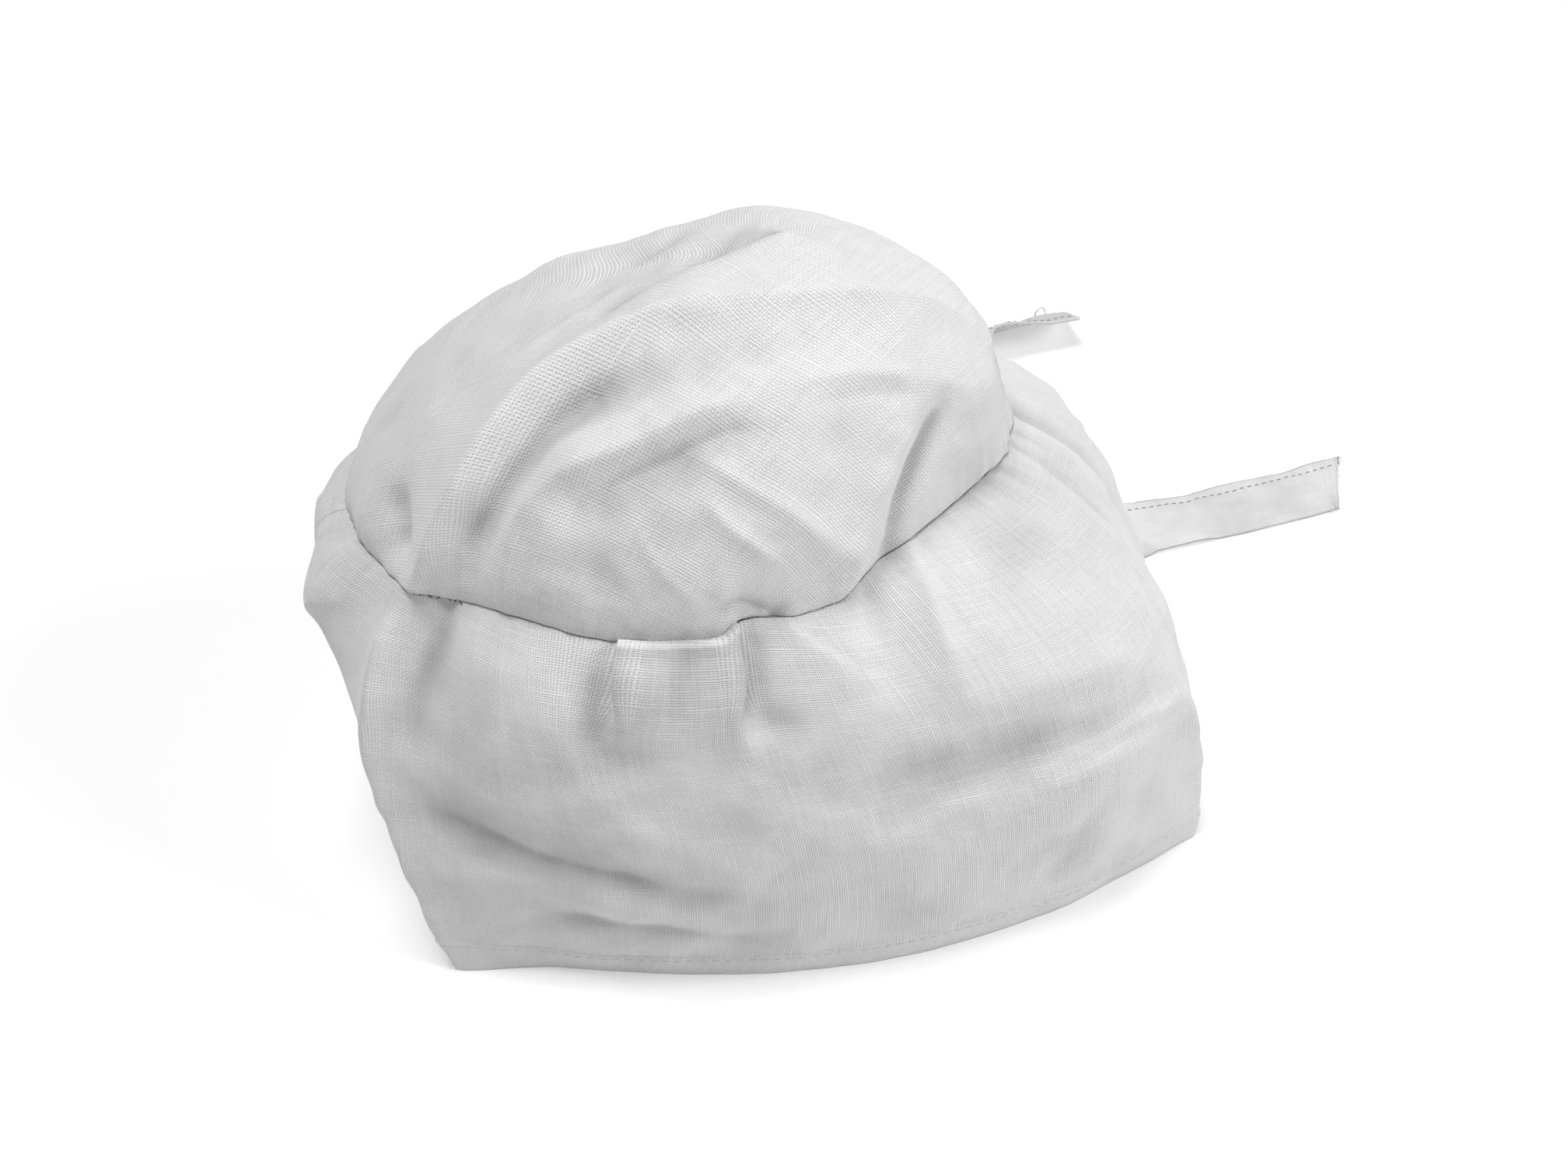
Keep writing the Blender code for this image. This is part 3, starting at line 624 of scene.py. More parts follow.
def make_piece(name: str, vertices: np.ndarray, quads: np.ndarray, material: bpy.types.Material,
               uv: np.ndarray | None = None, triangles: np.ndarray | None = None,
               values: dict[str, np.ndarray] | None = None) -> bpy.types.Object:
    """Make a smooth object from arrays.

    Args:
        name: the piece's name.
        vertices: its points in metres.
        quads: four vertex numbers for each quad.
        material: its finish.
        uv: one place for each vertex, in metres along the cloth.
        triangles: three vertex numbers for each triangle, after the quads.
        values: name to one number for each vertex, stored as attributes.

    Returns:
        The object, linked to the scene and riding on the cap's body.
    """
    triangles = np.zeros((0, 3), int) if triangles is None else triangles
    loops = np.concatenate([quads.ravel(), triangles.ravel()]).astype(np.int32)
    sizes = np.concatenate([np.full(len(quads), 4), np.full(len(triangles), 3)]).astype(np.int32)
    mesh = bpy.data.meshes.new(name)
    mesh.vertices.add(len(vertices))
    mesh.vertices.foreach_set("co", np.ascontiguousarray(vertices, np.float32).ravel())
    mesh.loops.add(len(loops))
    mesh.loops.foreach_set("vertex_index", loops)
    mesh.polygons.add(len(sizes))
    starts = np.concatenate([[0], np.cumsum(sizes)[:-1]]).astype(np.int32)
    mesh.polygons.foreach_set("loop_start", starts)
    mesh.update(calc_edges=True)
    if uv is not None:
        layer = mesh.uv_layers.new(name="grain")
        layer.data.foreach_set("uv", np.ascontiguousarray(uv[loops], np.float32).ravel())
    for key, numbers in (values or {}).items():
        attribute = mesh.attributes.new(key, "FLOAT", "POINT")
        attribute.data.foreach_set("value", np.ascontiguousarray(numbers, np.float32).ravel())
    mesh.shade_smooth()
    mesh.validate()
    mesh.materials.append(material)
    piece = add_object(name, mesh)
    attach(piece, BODY)
    return piece


def shell(outer: np.ndarray, inner: np.ndarray) -> tuple[np.ndarray, np.ndarray]:
    """Close an outer and an inner skin over both of their edges.

    Args:
        outer: rows x columns x 3 points, from the lower edge to the upper, closed round.
        inner: rows x columns x 3 points with the same columns.

    Returns:
        The vertices, outer rows upward and then inner rows downward, and the quads.
    """
    rows = np.concatenate([outer, inner[::-1]])
    quads = grid_faces(len(rows), rows.shape[1], True)
    last, columns = (len(rows) - 1) * rows.shape[1], rows.shape[1]
    j = np.arange(columns)
    closing = np.stack([last + j, last + (j + 1) % columns, (j + 1) % columns, j], -1)
    return rows.reshape(-1, 3), np.concatenate([quads, closing])


# Finishes
def feed(node: bpy.types.Node, inputs: dict[str | int, object]) -> None:
    """Set a node's inputs, each to a value or to the socket that feeds it."""
    for key, value in inputs.items():
        if isinstance(value, bpy.types.NodeSocket):
            node.id_data.links.new(value, node.inputs[key])
        else:
            node.inputs[key].default_value = value


def add_node(tree: bpy.types.NodeTree, kind: str, inputs: dict[str | int, object],
             **settings: object) -> bpy.types.Node:
    """Add a node to a tree.

    Args:
        tree: where the node goes.
        kind: the node's type.
        inputs: what each input is set to or fed by.
        settings: the node's own properties.

    Returns:
        The node.
    """
    node = tree.nodes.new(kind)
    for name, value in settings.items():
        setattr(node, name, value)
    feed(node, inputs)
    return node


def math_node(tree: bpy.types.NodeTree, operation: str, first: object, second: object = None,
              clamp: bool = False) -> bpy.types.NodeSocket:
    """Add a Math node fed by sockets or numbers and return its output."""
    inputs = {0: first} if second is None else {0: first, 1: second}
    return add_node(tree, "ShaderNodeMath", inputs, operation=operation, use_clamp=clamp).outputs[0]


def mix_colour(tree: bpy.types.NodeTree, factor: object, first: object,
               second: object) -> bpy.types.NodeSocket:
    """Mix two colours, each a socket or a tuple, by a factor."""
    inputs = {"Factor": factor, 6: first, 7: second}
    return add_node(tree, "ShaderNodeMix", inputs, data_type="RGBA").outputs[2]


def noise_node(tree: bpy.types.NodeTree, vector: bpy.types.NodeSocket, scale: float,
               detail: float) -> bpy.types.NodeSocket:
    """Add a noise texture that reads this vector and return its value."""
    inputs = {"Vector": vector, "Scale": scale, "Detail": detail}
    return add_node(tree, "ShaderNodeTexNoise", inputs).outputs["Fac"]


def new_material(name: str) -> tuple[bpy.types.Material, bpy.types.NodeTree, bpy.types.Node]:
    """Start a material and return it with its node tree and its Principled shader."""
    material = bpy.data.materials.new(name)
    material.use_nodes = True
    return material, material.node_tree, material.node_tree.nodes["Principled BSDF"]


def new_group(name: str, inputs: tuple[tuple[str, str, float | None], ...],
              outputs: tuple[tuple[str, str], ...]
              ) -> tuple[bpy.types.NodeTree, bpy.types.Node, bpy.types.Node]:
    """Start a node group.

    Args:
        name: the group's name.
        inputs: name, socket type and starting value of each input.
        outputs: name and socket type of each output.

    Returns:
        The group, the node that its inputs come from and the node that its outputs go to.
    """
    group = bpy.data.node_groups.new(name, "ShaderNodeTree")
    for key, kind, value in inputs:
        socket = group.interface.new_socket(name=key, in_out="INPUT", socket_type=kind)
        if value is not None:
            socket.default_value = value
    for key, kind in outputs:
        group.interface.new_socket(name=key, in_out="OUTPUT", socket_type=kind)
    return group, group.nodes.new("NodeGroupInput"), group.nodes.new("NodeGroupOutput")


def weave_group() -> bpy.types.NodeTree:
    """Plain weave: warp and weft threads that cross over and under, with slubs.

    The height is the larger of two rows of rounded threads, each lifted where it passes over, and
    slow noise along each thread makes some of them thicker.
    """
    inputs = (("Vector", "NodeSocketVector", None), ("Threads per metre", "NodeSocketFloat", 900),
              ("Slub", "NodeSocketFloat", 1.5))
    outputs = (("Height", "NodeSocketFloat"), ("Gap", "NodeSocketFloat"))
    group, source, sink = new_group("plain_weave", inputs, outputs)
    calc = partial(math_node, group)
    place, threads, slub = (source.outputs[name] for name, *_ in inputs)
    split = add_node(group, "ShaderNodeSeparateXYZ", {0: place})
    slub_scale, wander_size, base, over_height, gap_depth = 620, 1.3, 0.30, 0.16, 1.1
    rows = []
    for axis, stretch, share in ((0, (1.0, 0.07, 1.0), 1.0), (1, (0.07, 1.0, 1.0), 0.7)):
        scaled = add_node(group, "ShaderNodeVectorMath", {0: place, 1: stretch}, operation="MULTIPLY")
        noise = noise_node(group, scaled.outputs[0], slub_scale, 3)
        wander = calc("MULTIPLY", calc("SUBTRACT", noise, 0.5), wander_size)
        along = calc("ADD", calc("MULTIPLY", split.outputs[axis], threads), wander)
        wave = calc("ABSOLUTE", calc("SINE", calc("MULTIPLY", along, math.pi)))
        thick = calc("ADD", calc("MULTIPLY", noise, slub), base * share)
        rows.append((calc("MULTIPLY", wave, thick), along))
    crossing = calc("ADD", rows[0][1], rows[1][1])
    lift = calc("MULTIPLY", calc("SINE", calc("MULTIPLY", crossing, math.pi)), over_height)
    high = calc("MAXIMUM", calc("ADD", rows[0][0], lift), calc("SUBTRACT", rows[1][0], lift))
    # Gap is high where the threads lie low; the tone paints shade there
    gap = calc("SUBTRACT", 1.0, calc("MULTIPLY", high, gap_depth), clamp=True)
    feed(sink, {"Height": high, "Gap": gap})
    return group


def tone_group() -> bpy.types.NodeTree:
    """Cloth tone: greying in random patches, and painted shade in the folds' valleys and in the gaps
    between threads.

    The three add up to the share of the shade colour, and the patches' noise also varies the
    roughness.
    """
    inputs = (("Vector", "NodeSocketVector", None), ("Colour", "NodeSocketColor", None),
              ("Shade", "NodeSocketColor", None), ("Relief", "NodeSocketFloat", 0.0),
              ("Gap", "NodeSocketFloat", 0.0), ("Patches", "NodeSocketFloat", 0.15))
    outputs = (("Colour", "NodeSocketColor"), ("Roughness", "NodeSocketFloat"))
    group, source, sink = new_group("cloth_tone", inputs, outputs)
    calc = partial(math_node, group)
    place, colour, shade, relief, gap, patches = (source.outputs[name] for name, *_ in inputs)
    patch_scale, patch_from, contrast, painted_shade_per_mm, painted_gap_shade = 55, 0.38, 3.2, -0.30, 0.62
    least_rough, rough_spread = 0.84, 0.12
    noise = noise_node(group, place, patch_scale, 6)
    spread = calc("MULTIPLY", calc("SUBTRACT", noise, patch_from), contrast, clamp=True)
    # Painted shade in the folds: each millimetre of negative relief adds a share of the shade colour
    painted_valley_shade = calc("MULTIPLY", relief, painted_shade_per_mm, clamp=True)
    grown = calc("ADD", calc("MULTIPLY", spread, patches), painted_valley_shade)
    # Painted shade between the threads, where the weave's gap is deep
    factor = calc("ADD", grown, calc("MULTIPLY", gap, painted_gap_shade), clamp=True)
    rough = calc("ADD", least_rough, calc("MULTIPLY", noise, rough_spread))
    feed(sink, {"Colour": mix_colour(group, factor, colour, shade), "Roughness": rough})
    return group


def grey(value: float) -> tuple[float, float, float]:
    """A neutral colour."""
    return (value, value, value)


@dataclass(frozen=True)
class Cotton:
    """Washed white cotton: its colour, its threads and how they are turned on the cloth."""

    name: str
    colour: tuple[float, float, float]
    shade: tuple[float, float, float]
    threads: float = 900.0
    turn: float = 0.0
    bump: float = 0.00027
    patches: float = 0.15
    sheen: float = 0.25
    bump_strength: float = 0.75

    def build(self, weave: bpy.types.NodeTree, tone: bpy.types.NodeTree) -> bpy.types.Material:
        """Make the material: weave and tone read the piece's own grain map.

        Args:
            weave: the plain weave group.
            tone: the cloth tone group.

        Returns:
            The material.
        """
        material, tree, shader = new_material(self.name)
        grain = add_node(tree, "ShaderNodeUVMap", {}, uv_map="grain")
        rotation = (0, 0, math.radians(self.turn))
        turned = add_node(tree, "ShaderNodeMapping", {"Vector": grain.outputs[0], "Rotation": rotation})
        fed = {"Vector": turned.outputs[0], "Threads per metre": self.threads}
        threads = add_node(tree, "ShaderNodeGroup", fed, node_tree=weave)
        place = add_node(tree, "ShaderNodeTexCoord", {})
        # Relief: the folds' height in millimetres, which the tone darkens in the valleys as painted shade
        relief = add_node(tree, "ShaderNodeAttribute", {}, attribute_name="relief")
        fed = {"Vector": place.outputs["Object"], "Relief": relief.outputs["Fac"],
               "Gap": threads.outputs["Gap"], "Patches": self.patches,
               "Colour": (*self.colour, 1), "Shade": (*self.shade, 1)}
        finish = add_node(tree, "ShaderNodeGroup", fed, node_tree=tone)
        bump = add_node(tree, "ShaderNodeBump", {"Height": threads.outputs["Height"],
                                                 "Strength": self.bump_strength, "Distance": self.bump})
        feed(shader, {"Base Color": finish.outputs["Colour"], "Roughness": finish.outputs["Roughness"],
                      "Normal": bump.outputs["Normal"], "Sheen Weight": self.sheen,
                      "Sheen Roughness": 0.5, "Specular IOR Level": 0.25})
        return material


@dataclass(frozen=True)
class Thread:
    """Sewing thread: a twisted strand, lighter on its ply, with painted shade between the plies."""

    name: str
    colour: tuple[float, float, float]
    shade: tuple[float, float, float]
    ply_scale: float = 2600
    bump: float = 0.1 * MM

    def build(self) -> bpy.types.Material:
        """Make the material from fine waves across the strand."""
        material, tree, shader = new_material(self.name)
        place = add_node(tree, "ShaderNodeTexCoord", {})
        noise = noise_node(tree, place.outputs["Object"], self.ply_scale, 2)
        # Painted shade: the colour darkens with the noise where the bump lies low between the plies
        colour = mix_colour(tree, noise, (*self.shade, 1), (*self.colour, 1))
        bump = add_node(tree, "ShaderNodeBump", {"Height": noise, "Distance": self.bump})
        feed(shader, {"Base Color": colour, "Normal": bump.outputs["Normal"], "Roughness": 0.7})
        return material


@dataclass
class Wardrobe:
    """All finishes, made once and handed to the pieces."""

    crown: bpy.types.Material
    band: bpy.types.Material
    tie: bpy.types.Material
    thread: bpy.types.Material
    tie_thread: bpy.types.Material
    dark_thread: bpy.types.Material

    @classmethod
    def make(cls) -> "Wardrobe":
        """Build the two groups and every material."""
        weave, tone = weave_group(), tone_group()
        return cls(
            crown=Cotton("crown_cotton", grey(0.76), grey(0.50), 1800, 38, patches=0.12).build(weave, tone),
            band=Cotton("band_cotton", grey(0.75), grey(0.48), 1700, 3, patches=0.12).build(weave, tone),
            tie=Cotton("tie_cotton", grey(0.75), grey(0.49), 1700, 0, patches=0.45).build(weave, tone),
            thread=Thread("white_thread", (0.74, 0.74, 0.73), grey(0.45)).build(),
            # The tie's stitch thread is dark grey: painted shade standing in for the shadows in its needle
            # holes
            tie_thread=Thread("tie_thread", grey(0.40), grey(0.16)).build(),
            dark_thread=Thread("seam_thread", (0.16, 0.16, 0.165), (0.05, 0.05, 0.055)).build(),
        )


END_SHARE = 0.35


def strand(path: np.ndarray, radius: float, sides: int = 6) -> tuple[np.ndarray, np.ndarray]:
    """Sweep a round section along a path and close both ends.

    At each place the section is a circle in the plane across the path, and its radius shrinks
    to a third at the two ends.

    Args:
        path: places x 3 points in metres.
        radius: the strand's radius in metres.
        sides: corners of the section.

    Returns:
        Vertices and quads; each end is closed by quads that meet in its middle point.
    """
    along = unit(np.gradient(path, axis=0))
    start = np.array([0.0, 0.0, 1.0]) if abs(along[0, 2]) < 0.9 else np.array([1.0, 0.0, 0.0])
    side = unit(np.cross(along, start))
    up = np.cross(side, along)
    shrink = np.ones(len(path))
    shrink[[0, -1]] = END_SHARE
    turn = np.linspace(0, 2 * math.pi, sides, endpoint=False)
    ring = (np.cos(turn)[None, :, None] * side[:, None] + np.sin(turn)[None, :, None] * up[:, None])
    points = path[:, None] + radius * shrink[:, None, None] * ring
    vertices = np.concatenate([points.reshape(-1, 3), path[:1], path[-1:]])
    quads = grid_faces(len(path), sides, True)
    first, last = len(path) * sides, len(path) * sides + 1
    j = np.arange(0, sides, 2)
    base = (len(path) - 1) * sides
    caps = [np.stack([np.full(len(j), first), (j + 2) % sides, j + 1, j], -1),
            np.stack([np.full(len(j), last), base + j, base + j + 1, base + (j + 2) % sides], -1)]
    return vertices, np.concatenate([quads, *caps])


def join_strands(parts: list[tuple[np.ndarray, np.ndarray]]) -> tuple[np.ndarray, np.ndarray]:
    """Put many small meshes into one pair of arrays."""
    vertices, quads, offset = [], [], 0
    for points, faces in parts:
        vertices.append(points)
        quads.append(faces + offset)
        offset += len(points)
    return np.concatenate(vertices), np.concatenate(quads)


@dataclass
class Band:
    """The side band: folded wall, narrow hem, box pleat and rolled upper edge."""

    shape: CapShape
    finish: Wardrobe
    pleat: BoxPleat = field(default_factory=BoxPleat)
    wall: float = 3.2 * MM
    hem_step: float = 0.45 * MM
    hem_level: float = 0.085
    spacing: float = 0.62
    seam_gap: float = 0.2 * MM
    even_rows: int = 82
    seam_rows: int = 18
    inner_rows: int = 18
    seam_zone: float = 5.0 * MM
    even_end: float = 0.955
    hem_rows: tuple[float, ...] = (-0.008, -0.003, 0.003, 0.008)
    hem_turn: float = 0.004
    roll_radius: float = 1.2 * MM
    roll_depth: float = 0.5 * MM
    pleat_roll: float = 1.8 * MM
    # How much the pleat's lift darkens the panel, as painted shade
    lift_painted_shade: float = 0.35
    rim_calm: tuple[float, float] = (0.35, 0.12)
    inner_grain: float = 0.11

    def levels(self) -> np.ndarray:
        """Levels of the outer rows: even, with closer rows at the hem's edge and at the seam."""
        even = np.linspace(0, self.even_end, self.even_rows)
        hem = self.hem_level + np.array(self.hem_rows)
        from_seam = self.seam_gap / 2 + np.linspace(0, self.seam_zone, self.seam_rows)[::-1]
        return np.sort(np.concatenate([even, hem, 1 - from_seam / self.shape.band_slant]))

    def relief(self, azimuth: np.ndarray, level: np.ndarray, plain: np.ndarray) -> np.ndarray:
        """Height of folds, dents and puckers on the band, in metres."""
        distance = (1 - level) * self.shape.band_slant
        least, until = self.rim_calm
        calm = least + (1 - least) * smooth_step(0.0, until, level)
        return (self.shape.fold_height(plain, FOLDS + FINE_FOLDS, Part.BAND)
                + self.shape.crumple(plain) * calm
                + self.shape.puckers(azimuth, distance))

    def outer(self) -> tuple[np.ndarray, np.ndarray, np.ndarray]:
        """Points, relief and grain of the outer skin.

        Returns:
            Rows x columns x 3 points, the relief for the finish, which paints shade in its valleys and
            is lowered on the pleat to paint shade on the raised panel, and the grain map, all in metres.
        """
        lines, levels = self.pleat.lines_for(self.spacing), self.levels()
        level, line = np.meshgrid(levels, lines, indexing="ij")
        azimuth, lift = self.pleat.carry(line, level)
        plain = self.shape.plain(azimuth, level)
        relief = self.relief(azimuth, level, plain)
        distance = (1 - level) * self.shape.band_slant
        edge_drop = self.roll_depth * (seam_roll(distance, self.roll_radius) - 1)
        low, high = self.hem_level - self.hem_turn, self.hem_level + self.hem_turn
        hem = self.hem_step * (1 - smooth_step(low, high, level))
        height = relief + lift * seam_roll(distance, self.pleat_roll) + edge_drop + hem
        points = plain + self.shape.outward(azimuth, level) * height[..., None]
        at_top = smooth_step(self.even_end, 1.0, level)
        points[..., 2] += lift / self.pleat.height * self.pleat.rise * at_top
        points[0, :, 2] = 0.0
        around = np.linalg.norm(np.roll(plain, -1, 1) - plain, axis=-1)[len(levels) // 3]
        u = np.concatenate([[0], np.cumsum(around)[:-1]])
        climb = np.cumsum(np.linalg.norm(np.diff(plain, axis=0), axis=-1), 0)
        up = np.concatenate([np.zeros((1, len(lines))), climb])
        grain = np.stack([np.broadcast_to(u, up.shape), up], -1)
        # The pleat's lift lowers the relief, so the finish paints shade on the raised panel
        return points, relief - lift * self.lift_painted_shade, grain

    def build(self) -> bpy.types.Object:
        """Make the band as a closed wall in place of its solid."""
        outer, relief, grain = self.outer()
        lines = self.pleat.lines_for(self.spacing)
        levels = np.linspace(0, self.levels()[-1], self.inner_rows)
        level, line = np.meshgrid(levels, lines, indexing="ij")
        azimuth = self.pleat.carry(line, np.zeros_like(level))[0]
        plain = self.shape.plain(azimuth, level)
        height = self.shape.fold_height(plain, FOLDS, Part.BAND) - self.wall
        inner = plain + self.shape.outward(azimuth, level) * height[..., None]
        inner[0, :, 2] = 0.0
        vertices, quads = shell(outer, inner)
        inner_grain = np.stack([np.broadcast_to(grain[0, :, 0], level.shape), level * self.inner_grain], -1)
        uv = np.concatenate([grain, inner_grain[::-1]]).reshape(-1, 2)
        # The relief drives the finish's painted shade in the valleys and on the pleat
        values = {"relief": np.concatenate([relief / MM, np.zeros_like(level)]).ravel()}
        piece = make_piece("band_cloth", vertices, quads, self.finish.band, uv, values=values)
        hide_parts("band")
        return piece


@dataclass
class Crown:
    """The crown: a folded dome whose lower edge rolls in to the seam."""

    shape: CapShape
    finish: Wardrobe
    wall: float = 3.2 * MM
    columns: int = 600
    seam_rows: int = 16
    upper_rows: int = 96
    inner_rows: int = 18
    seam_gap: float = 0.2 * MM
    seam_zone: float = 5.0 * MM
    upper_start: float = 0.008
    last: float = 1.985
    roll_radius: float = 1.2 * MM
    roll_depth: float = 0.55 * MM
    pucker_turn: float = 2.5
    grain_reach: float = 0.085

    def levels(self) -> np.ndarray:
        """Levels of the outer rows, closer together near the seam."""
        from_seam = self.seam_gap / 2 + np.linspace(0, self.seam_zone, self.seam_rows)
        seam = 1 + from_seam / self.shape.crown_slant
        return np.concatenate([seam, np.linspace(seam[-1] + self.upper_start, self.last, self.upper_rows)])

    def build(self) -> bpy.types.Object:
        """Make the crown as a closed wall in place of its solid."""
        azimuths = np.arange(self.columns) * 360 / self.columns
        levels = self.levels()
        level, azimuth = np.meshgrid(levels, azimuths, indexing="ij")
        plain = self.shape.plain(azimuth, level)
        distance = (level - 1) * self.shape.crown_slant
        relief = (self.shape.fold_height(plain, FOLDS + FINE_FOLDS, Part.CROWN) + self.shape.crumple(plain)
                  + self.shape.puckers(azimuth + self.pucker_turn, distance))
        height = relief + self.roll_depth * (seam_roll(distance, self.roll_radius) - 1)
        outer = plain + self.shape.outward(azimuth, level) * height[..., None]
        low = np.linspace(levels[0], levels[-1], self.inner_rows)
        inner_level, inner_azimuth = np.meshgrid(low, azimuths, indexing="ij")
        inner_plain = self.shape.plain(inner_azimuth, inner_level)
        inner_height = self.shape.fold_height(inner_plain, FOLDS, Part.CROWN) - self.wall
        inner = inner_plain + self.shape.outward(inner_azimuth, inner_level) * inner_height[..., None]
        rows = np.concatenate([inner[::-1], outer])
        count = len(rows)
        poles = np.stack([rows[0].mean(0), rows[-1].mean(0)])
        vertices = np.concatenate([rows.reshape(-1, 3), poles])
        quads = grid_faces(count, self.columns, True)
        j = np.arange(self.columns)
        ahead = (j + 1) % self.columns
        base, inner_pole = (count - 1) * self.columns, count * self.columns
        inner_fan = np.stack([np.full(len(j), inner_pole), ahead, j], -1)
        outer_fan = np.stack([np.full(len(j), inner_pole + 1), base + j, base + ahead], -1)
        triangles = np.concatenate([inner_fan, outer_fan])
        from_top = (2 - np.concatenate([inner_level[::-1], level])) * self.grain_reach
        turn = np.radians(np.concatenate([inner_azimuth[::-1], azimuth]))
        uv = np.stack([from_top * np.cos(turn), from_top * np.sin(turn)], -1).reshape(-1, 2)
        uv = np.concatenate([uv, np.zeros((2, 2))])
        # The outer relief drives the finish's painted shade in the valleys
        values = np.concatenate([np.zeros(inner_level.size), (relief / MM).ravel(), [0, 0]])
        piece = make_piece("crown_cloth", vertices, quads, self.finish.crown, uv, triangles,
                           {"relief": values})
        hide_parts("crown")
        return piece


@dataclass(frozen=True)
class TieCourse:
    """One tie's way from its seat on the band to its free end, as the solids have it.

    Sewn rows give azimuth and distance from the band, laid rows x, y and the roll in degrees on
    the floor.  Lean is the side that the upper edge falls to, and slant how far that edge's end
    lies past the middle's.  Lengths are in millimetres.
    """

    lean: int
    slant: float
    sewn: tuple[tuple[float, float], ...]
    laid: tuple[tuple[float, float, float], ...]


COURSES = {
    "tie_left": TieCourse(1, 6.5, ((158, 0.9), (164, 0.9), (170, 0.9)),
                          ((97.8, 6, 88), (100.5, 21, 87), (103.5, 37, 78), (107, 50, 54), (112.5, 60, 25),
                           (122, 65.5, 8), (136, 67.5, 4), (160, 70, 2), (196, 75, 3))),
    "tie_right": TieCourse(-1, -2.0, ((201, 1.2), (206, 1.3), (211, 1.9)),
                           ((93.4, 63.5, 86), (92.8, 78, 72), (88.5, 102, 24), (83, 123, 8), (83, 143, 8),
                            (88, 159, 18), (98, 171, 44), (111, 176.5, 40), (123, 179, 31), (137, 181, 26))),
}


@dataclass
class Tie:
    """A folded strip with a stitched edge and a raw end."""

    name: str
    shape: CapShape
    finish: Wardrobe
    width: float = 23 * MM
    thickness: float = 1.1 * MM
    clearance: float = 0.35 * MM
    heights: tuple[float, float] = (1.0 * MM, 24.0 * MM)
    stations: int = 170
    across: int = 26
    stitch_inset: float = 3.7 * MM
    stitch_pitch: float = 2.8 * MM
    stitch_share: float = 0.72
    stitch_dips: tuple[float, ...] = (-0.30, 0.02, 0.08, 0.02, -0.30)
    stitch_radius: float = 0.19 * MM
    stitch_start: float = 4 * MM
    stitch_stop: float = 1.5 * MM
    edge_power: int = 14
    groove_depth: float = 0.22
    groove_width: float = 0.7 * MM
    slant_zone: float = 9 * MM
    free: tuple[float, float] = (20 * MM, 45 * MM)
    lowest: float = 0.15 * MM
    ripple_heights: tuple[float, float] = (0.45 * MM, 0.25 * MM)
    ripple_lengths: tuple[float, float] = (18 * MM, 11 * MM)
    pull: float = 0.10 * MM
    pull_from: float = 0.6
    end_count: int = 34
    end_radius: float = 0.07 * MM
    loop_radius: float = 1.9 * MM
    loop_thread: float = 0.26 * MM

    @property
    def near(self) -> bool:
        """Whether this is the near tie, whose dark end threads gather at its upper corner."""
        return self.name == "tie_left"

    def frames(self) -> tuple[np.ndarray, np.ndarray]:
        """Centre line and half-width vectors, read evenly along the tie.

        Returns:
            Stations x 3 centres in metres and stations x 3 unit width vectors.
        """
        course = COURSES[self.name]
        centres, widths = [], []
        for azimuth, seat in course.sewn:
            edge = []
            for height in self.heights:
                place = (np.array(float(azimuth)), np.array(height / (100 * MM)))
                plain = self.shape.plain(*place)
                relief = self.shape.fold_height(plain[None], FOLDS, Part.BAND)[0]
                lift = relief + seat * MM + self.thickness / 2
                edge.append(plain + self.shape.outward(*place) * lift)
            width = unit(edge[1] - edge[0])
            centres.append(edge[0] + width * self.width / 2 + (0, 0, self.clearance))
            widths.append(width)
        path = np.array([row[:2] for row in course.laid], float) * MM
        heading = np.gradient(np.concatenate([[centres[-1][:2]], path]), axis=0)[1:]
        for place, ahead, row in zip(path, heading, course.laid):
            roll = math.radians(row[2])
            side = course.lean * np.array([-ahead[1], ahead[0]]) / np.hypot(*ahead)
            rise = self.clearance + self.width / 2 * math.sin(roll) + self.thickness / 2 * math.cos(roll)
            widths.append(np.array([*(side * math.cos(roll)), math.sin(roll)]))
            centres.append(np.array([*place, rise]))
        middle, across = (curve_through(np.array(rows), self.stations) for rows in (centres, widths))
        return middle, unit(across)

    def surface(self) -> tuple[np.ndarray, np.ndarray, np.ndarray]:
        """Points round the strip, its middle surface's normals, and its grain.

        The section is a flat oval: across runs from edge to edge on top and back below, the
        thickness falls to a rolled edge, and small waves ripple both faces together.

        Returns:
            Stations x section x 3 points, stations x 3 normals and stations x section x 2 grain.
        """
        centres, widths = self.frames()
        along = unit(np.gradient(centres, axis=0))
        thick = unit(np.cross(along, widths))
        run = run_along(centres)
        t = np.linspace(-1, 1, self.across)
        half = np.sqrt(np.clip(1 - np.abs(t) ** self.edge_power, 0, 1)) * 0.5
        from_stitches = t * self.width / 2 - (self.width / 2 - self.stitch_inset)
        groove = self.groove_depth * np.exp(-((from_stitches / self.groove_width) ** 2))
        profile = np.concatenate([half - groove, -half[::-1][1:-1]])
        u = np.concatenate([t, t[::-1][1:-1]])
        ending = smooth_step(run[-1] - self.slant_zone, run[-1], run)[:, None]
        slant = COURSES[self.name].slant * MM * ending * u
        middle = centres[:, None] + widths[:, None] * (u * self.width / 2)[None, :, None]
        middle = middle + along[:, None] * slant[..., None]
        seed = 31 if self.near else 47
        free = smooth_step(*self.free, run)[:, None]
        (wide_height, fine_height), (wide, fine) = self.ripple_heights, self.ripple_lengths
        ripple = (wide_height * Waves(seed, wide).at(middle)
                  - fine_height * np.abs(Waves(seed + 1, fine).at(middle)))
        pulled = self.pull * np.sin(2 * math.pi * run[:, None] / self.stitch_pitch) * (u > self.pull_from)
        ripple = ripple * free + pulled
        points = middle + thick[:, None] * (profile[None] * self.thickness + ripple)[..., None]
        low = self.lowest - points[..., 2].min(axis=1)
        points[..., 2] += np.maximum(low, 0)[:, None]
        grain = np.stack(np.broadcast_arrays(run[:, None], (u * self.width / 2)[None]), -1)
        return points, thick, grain

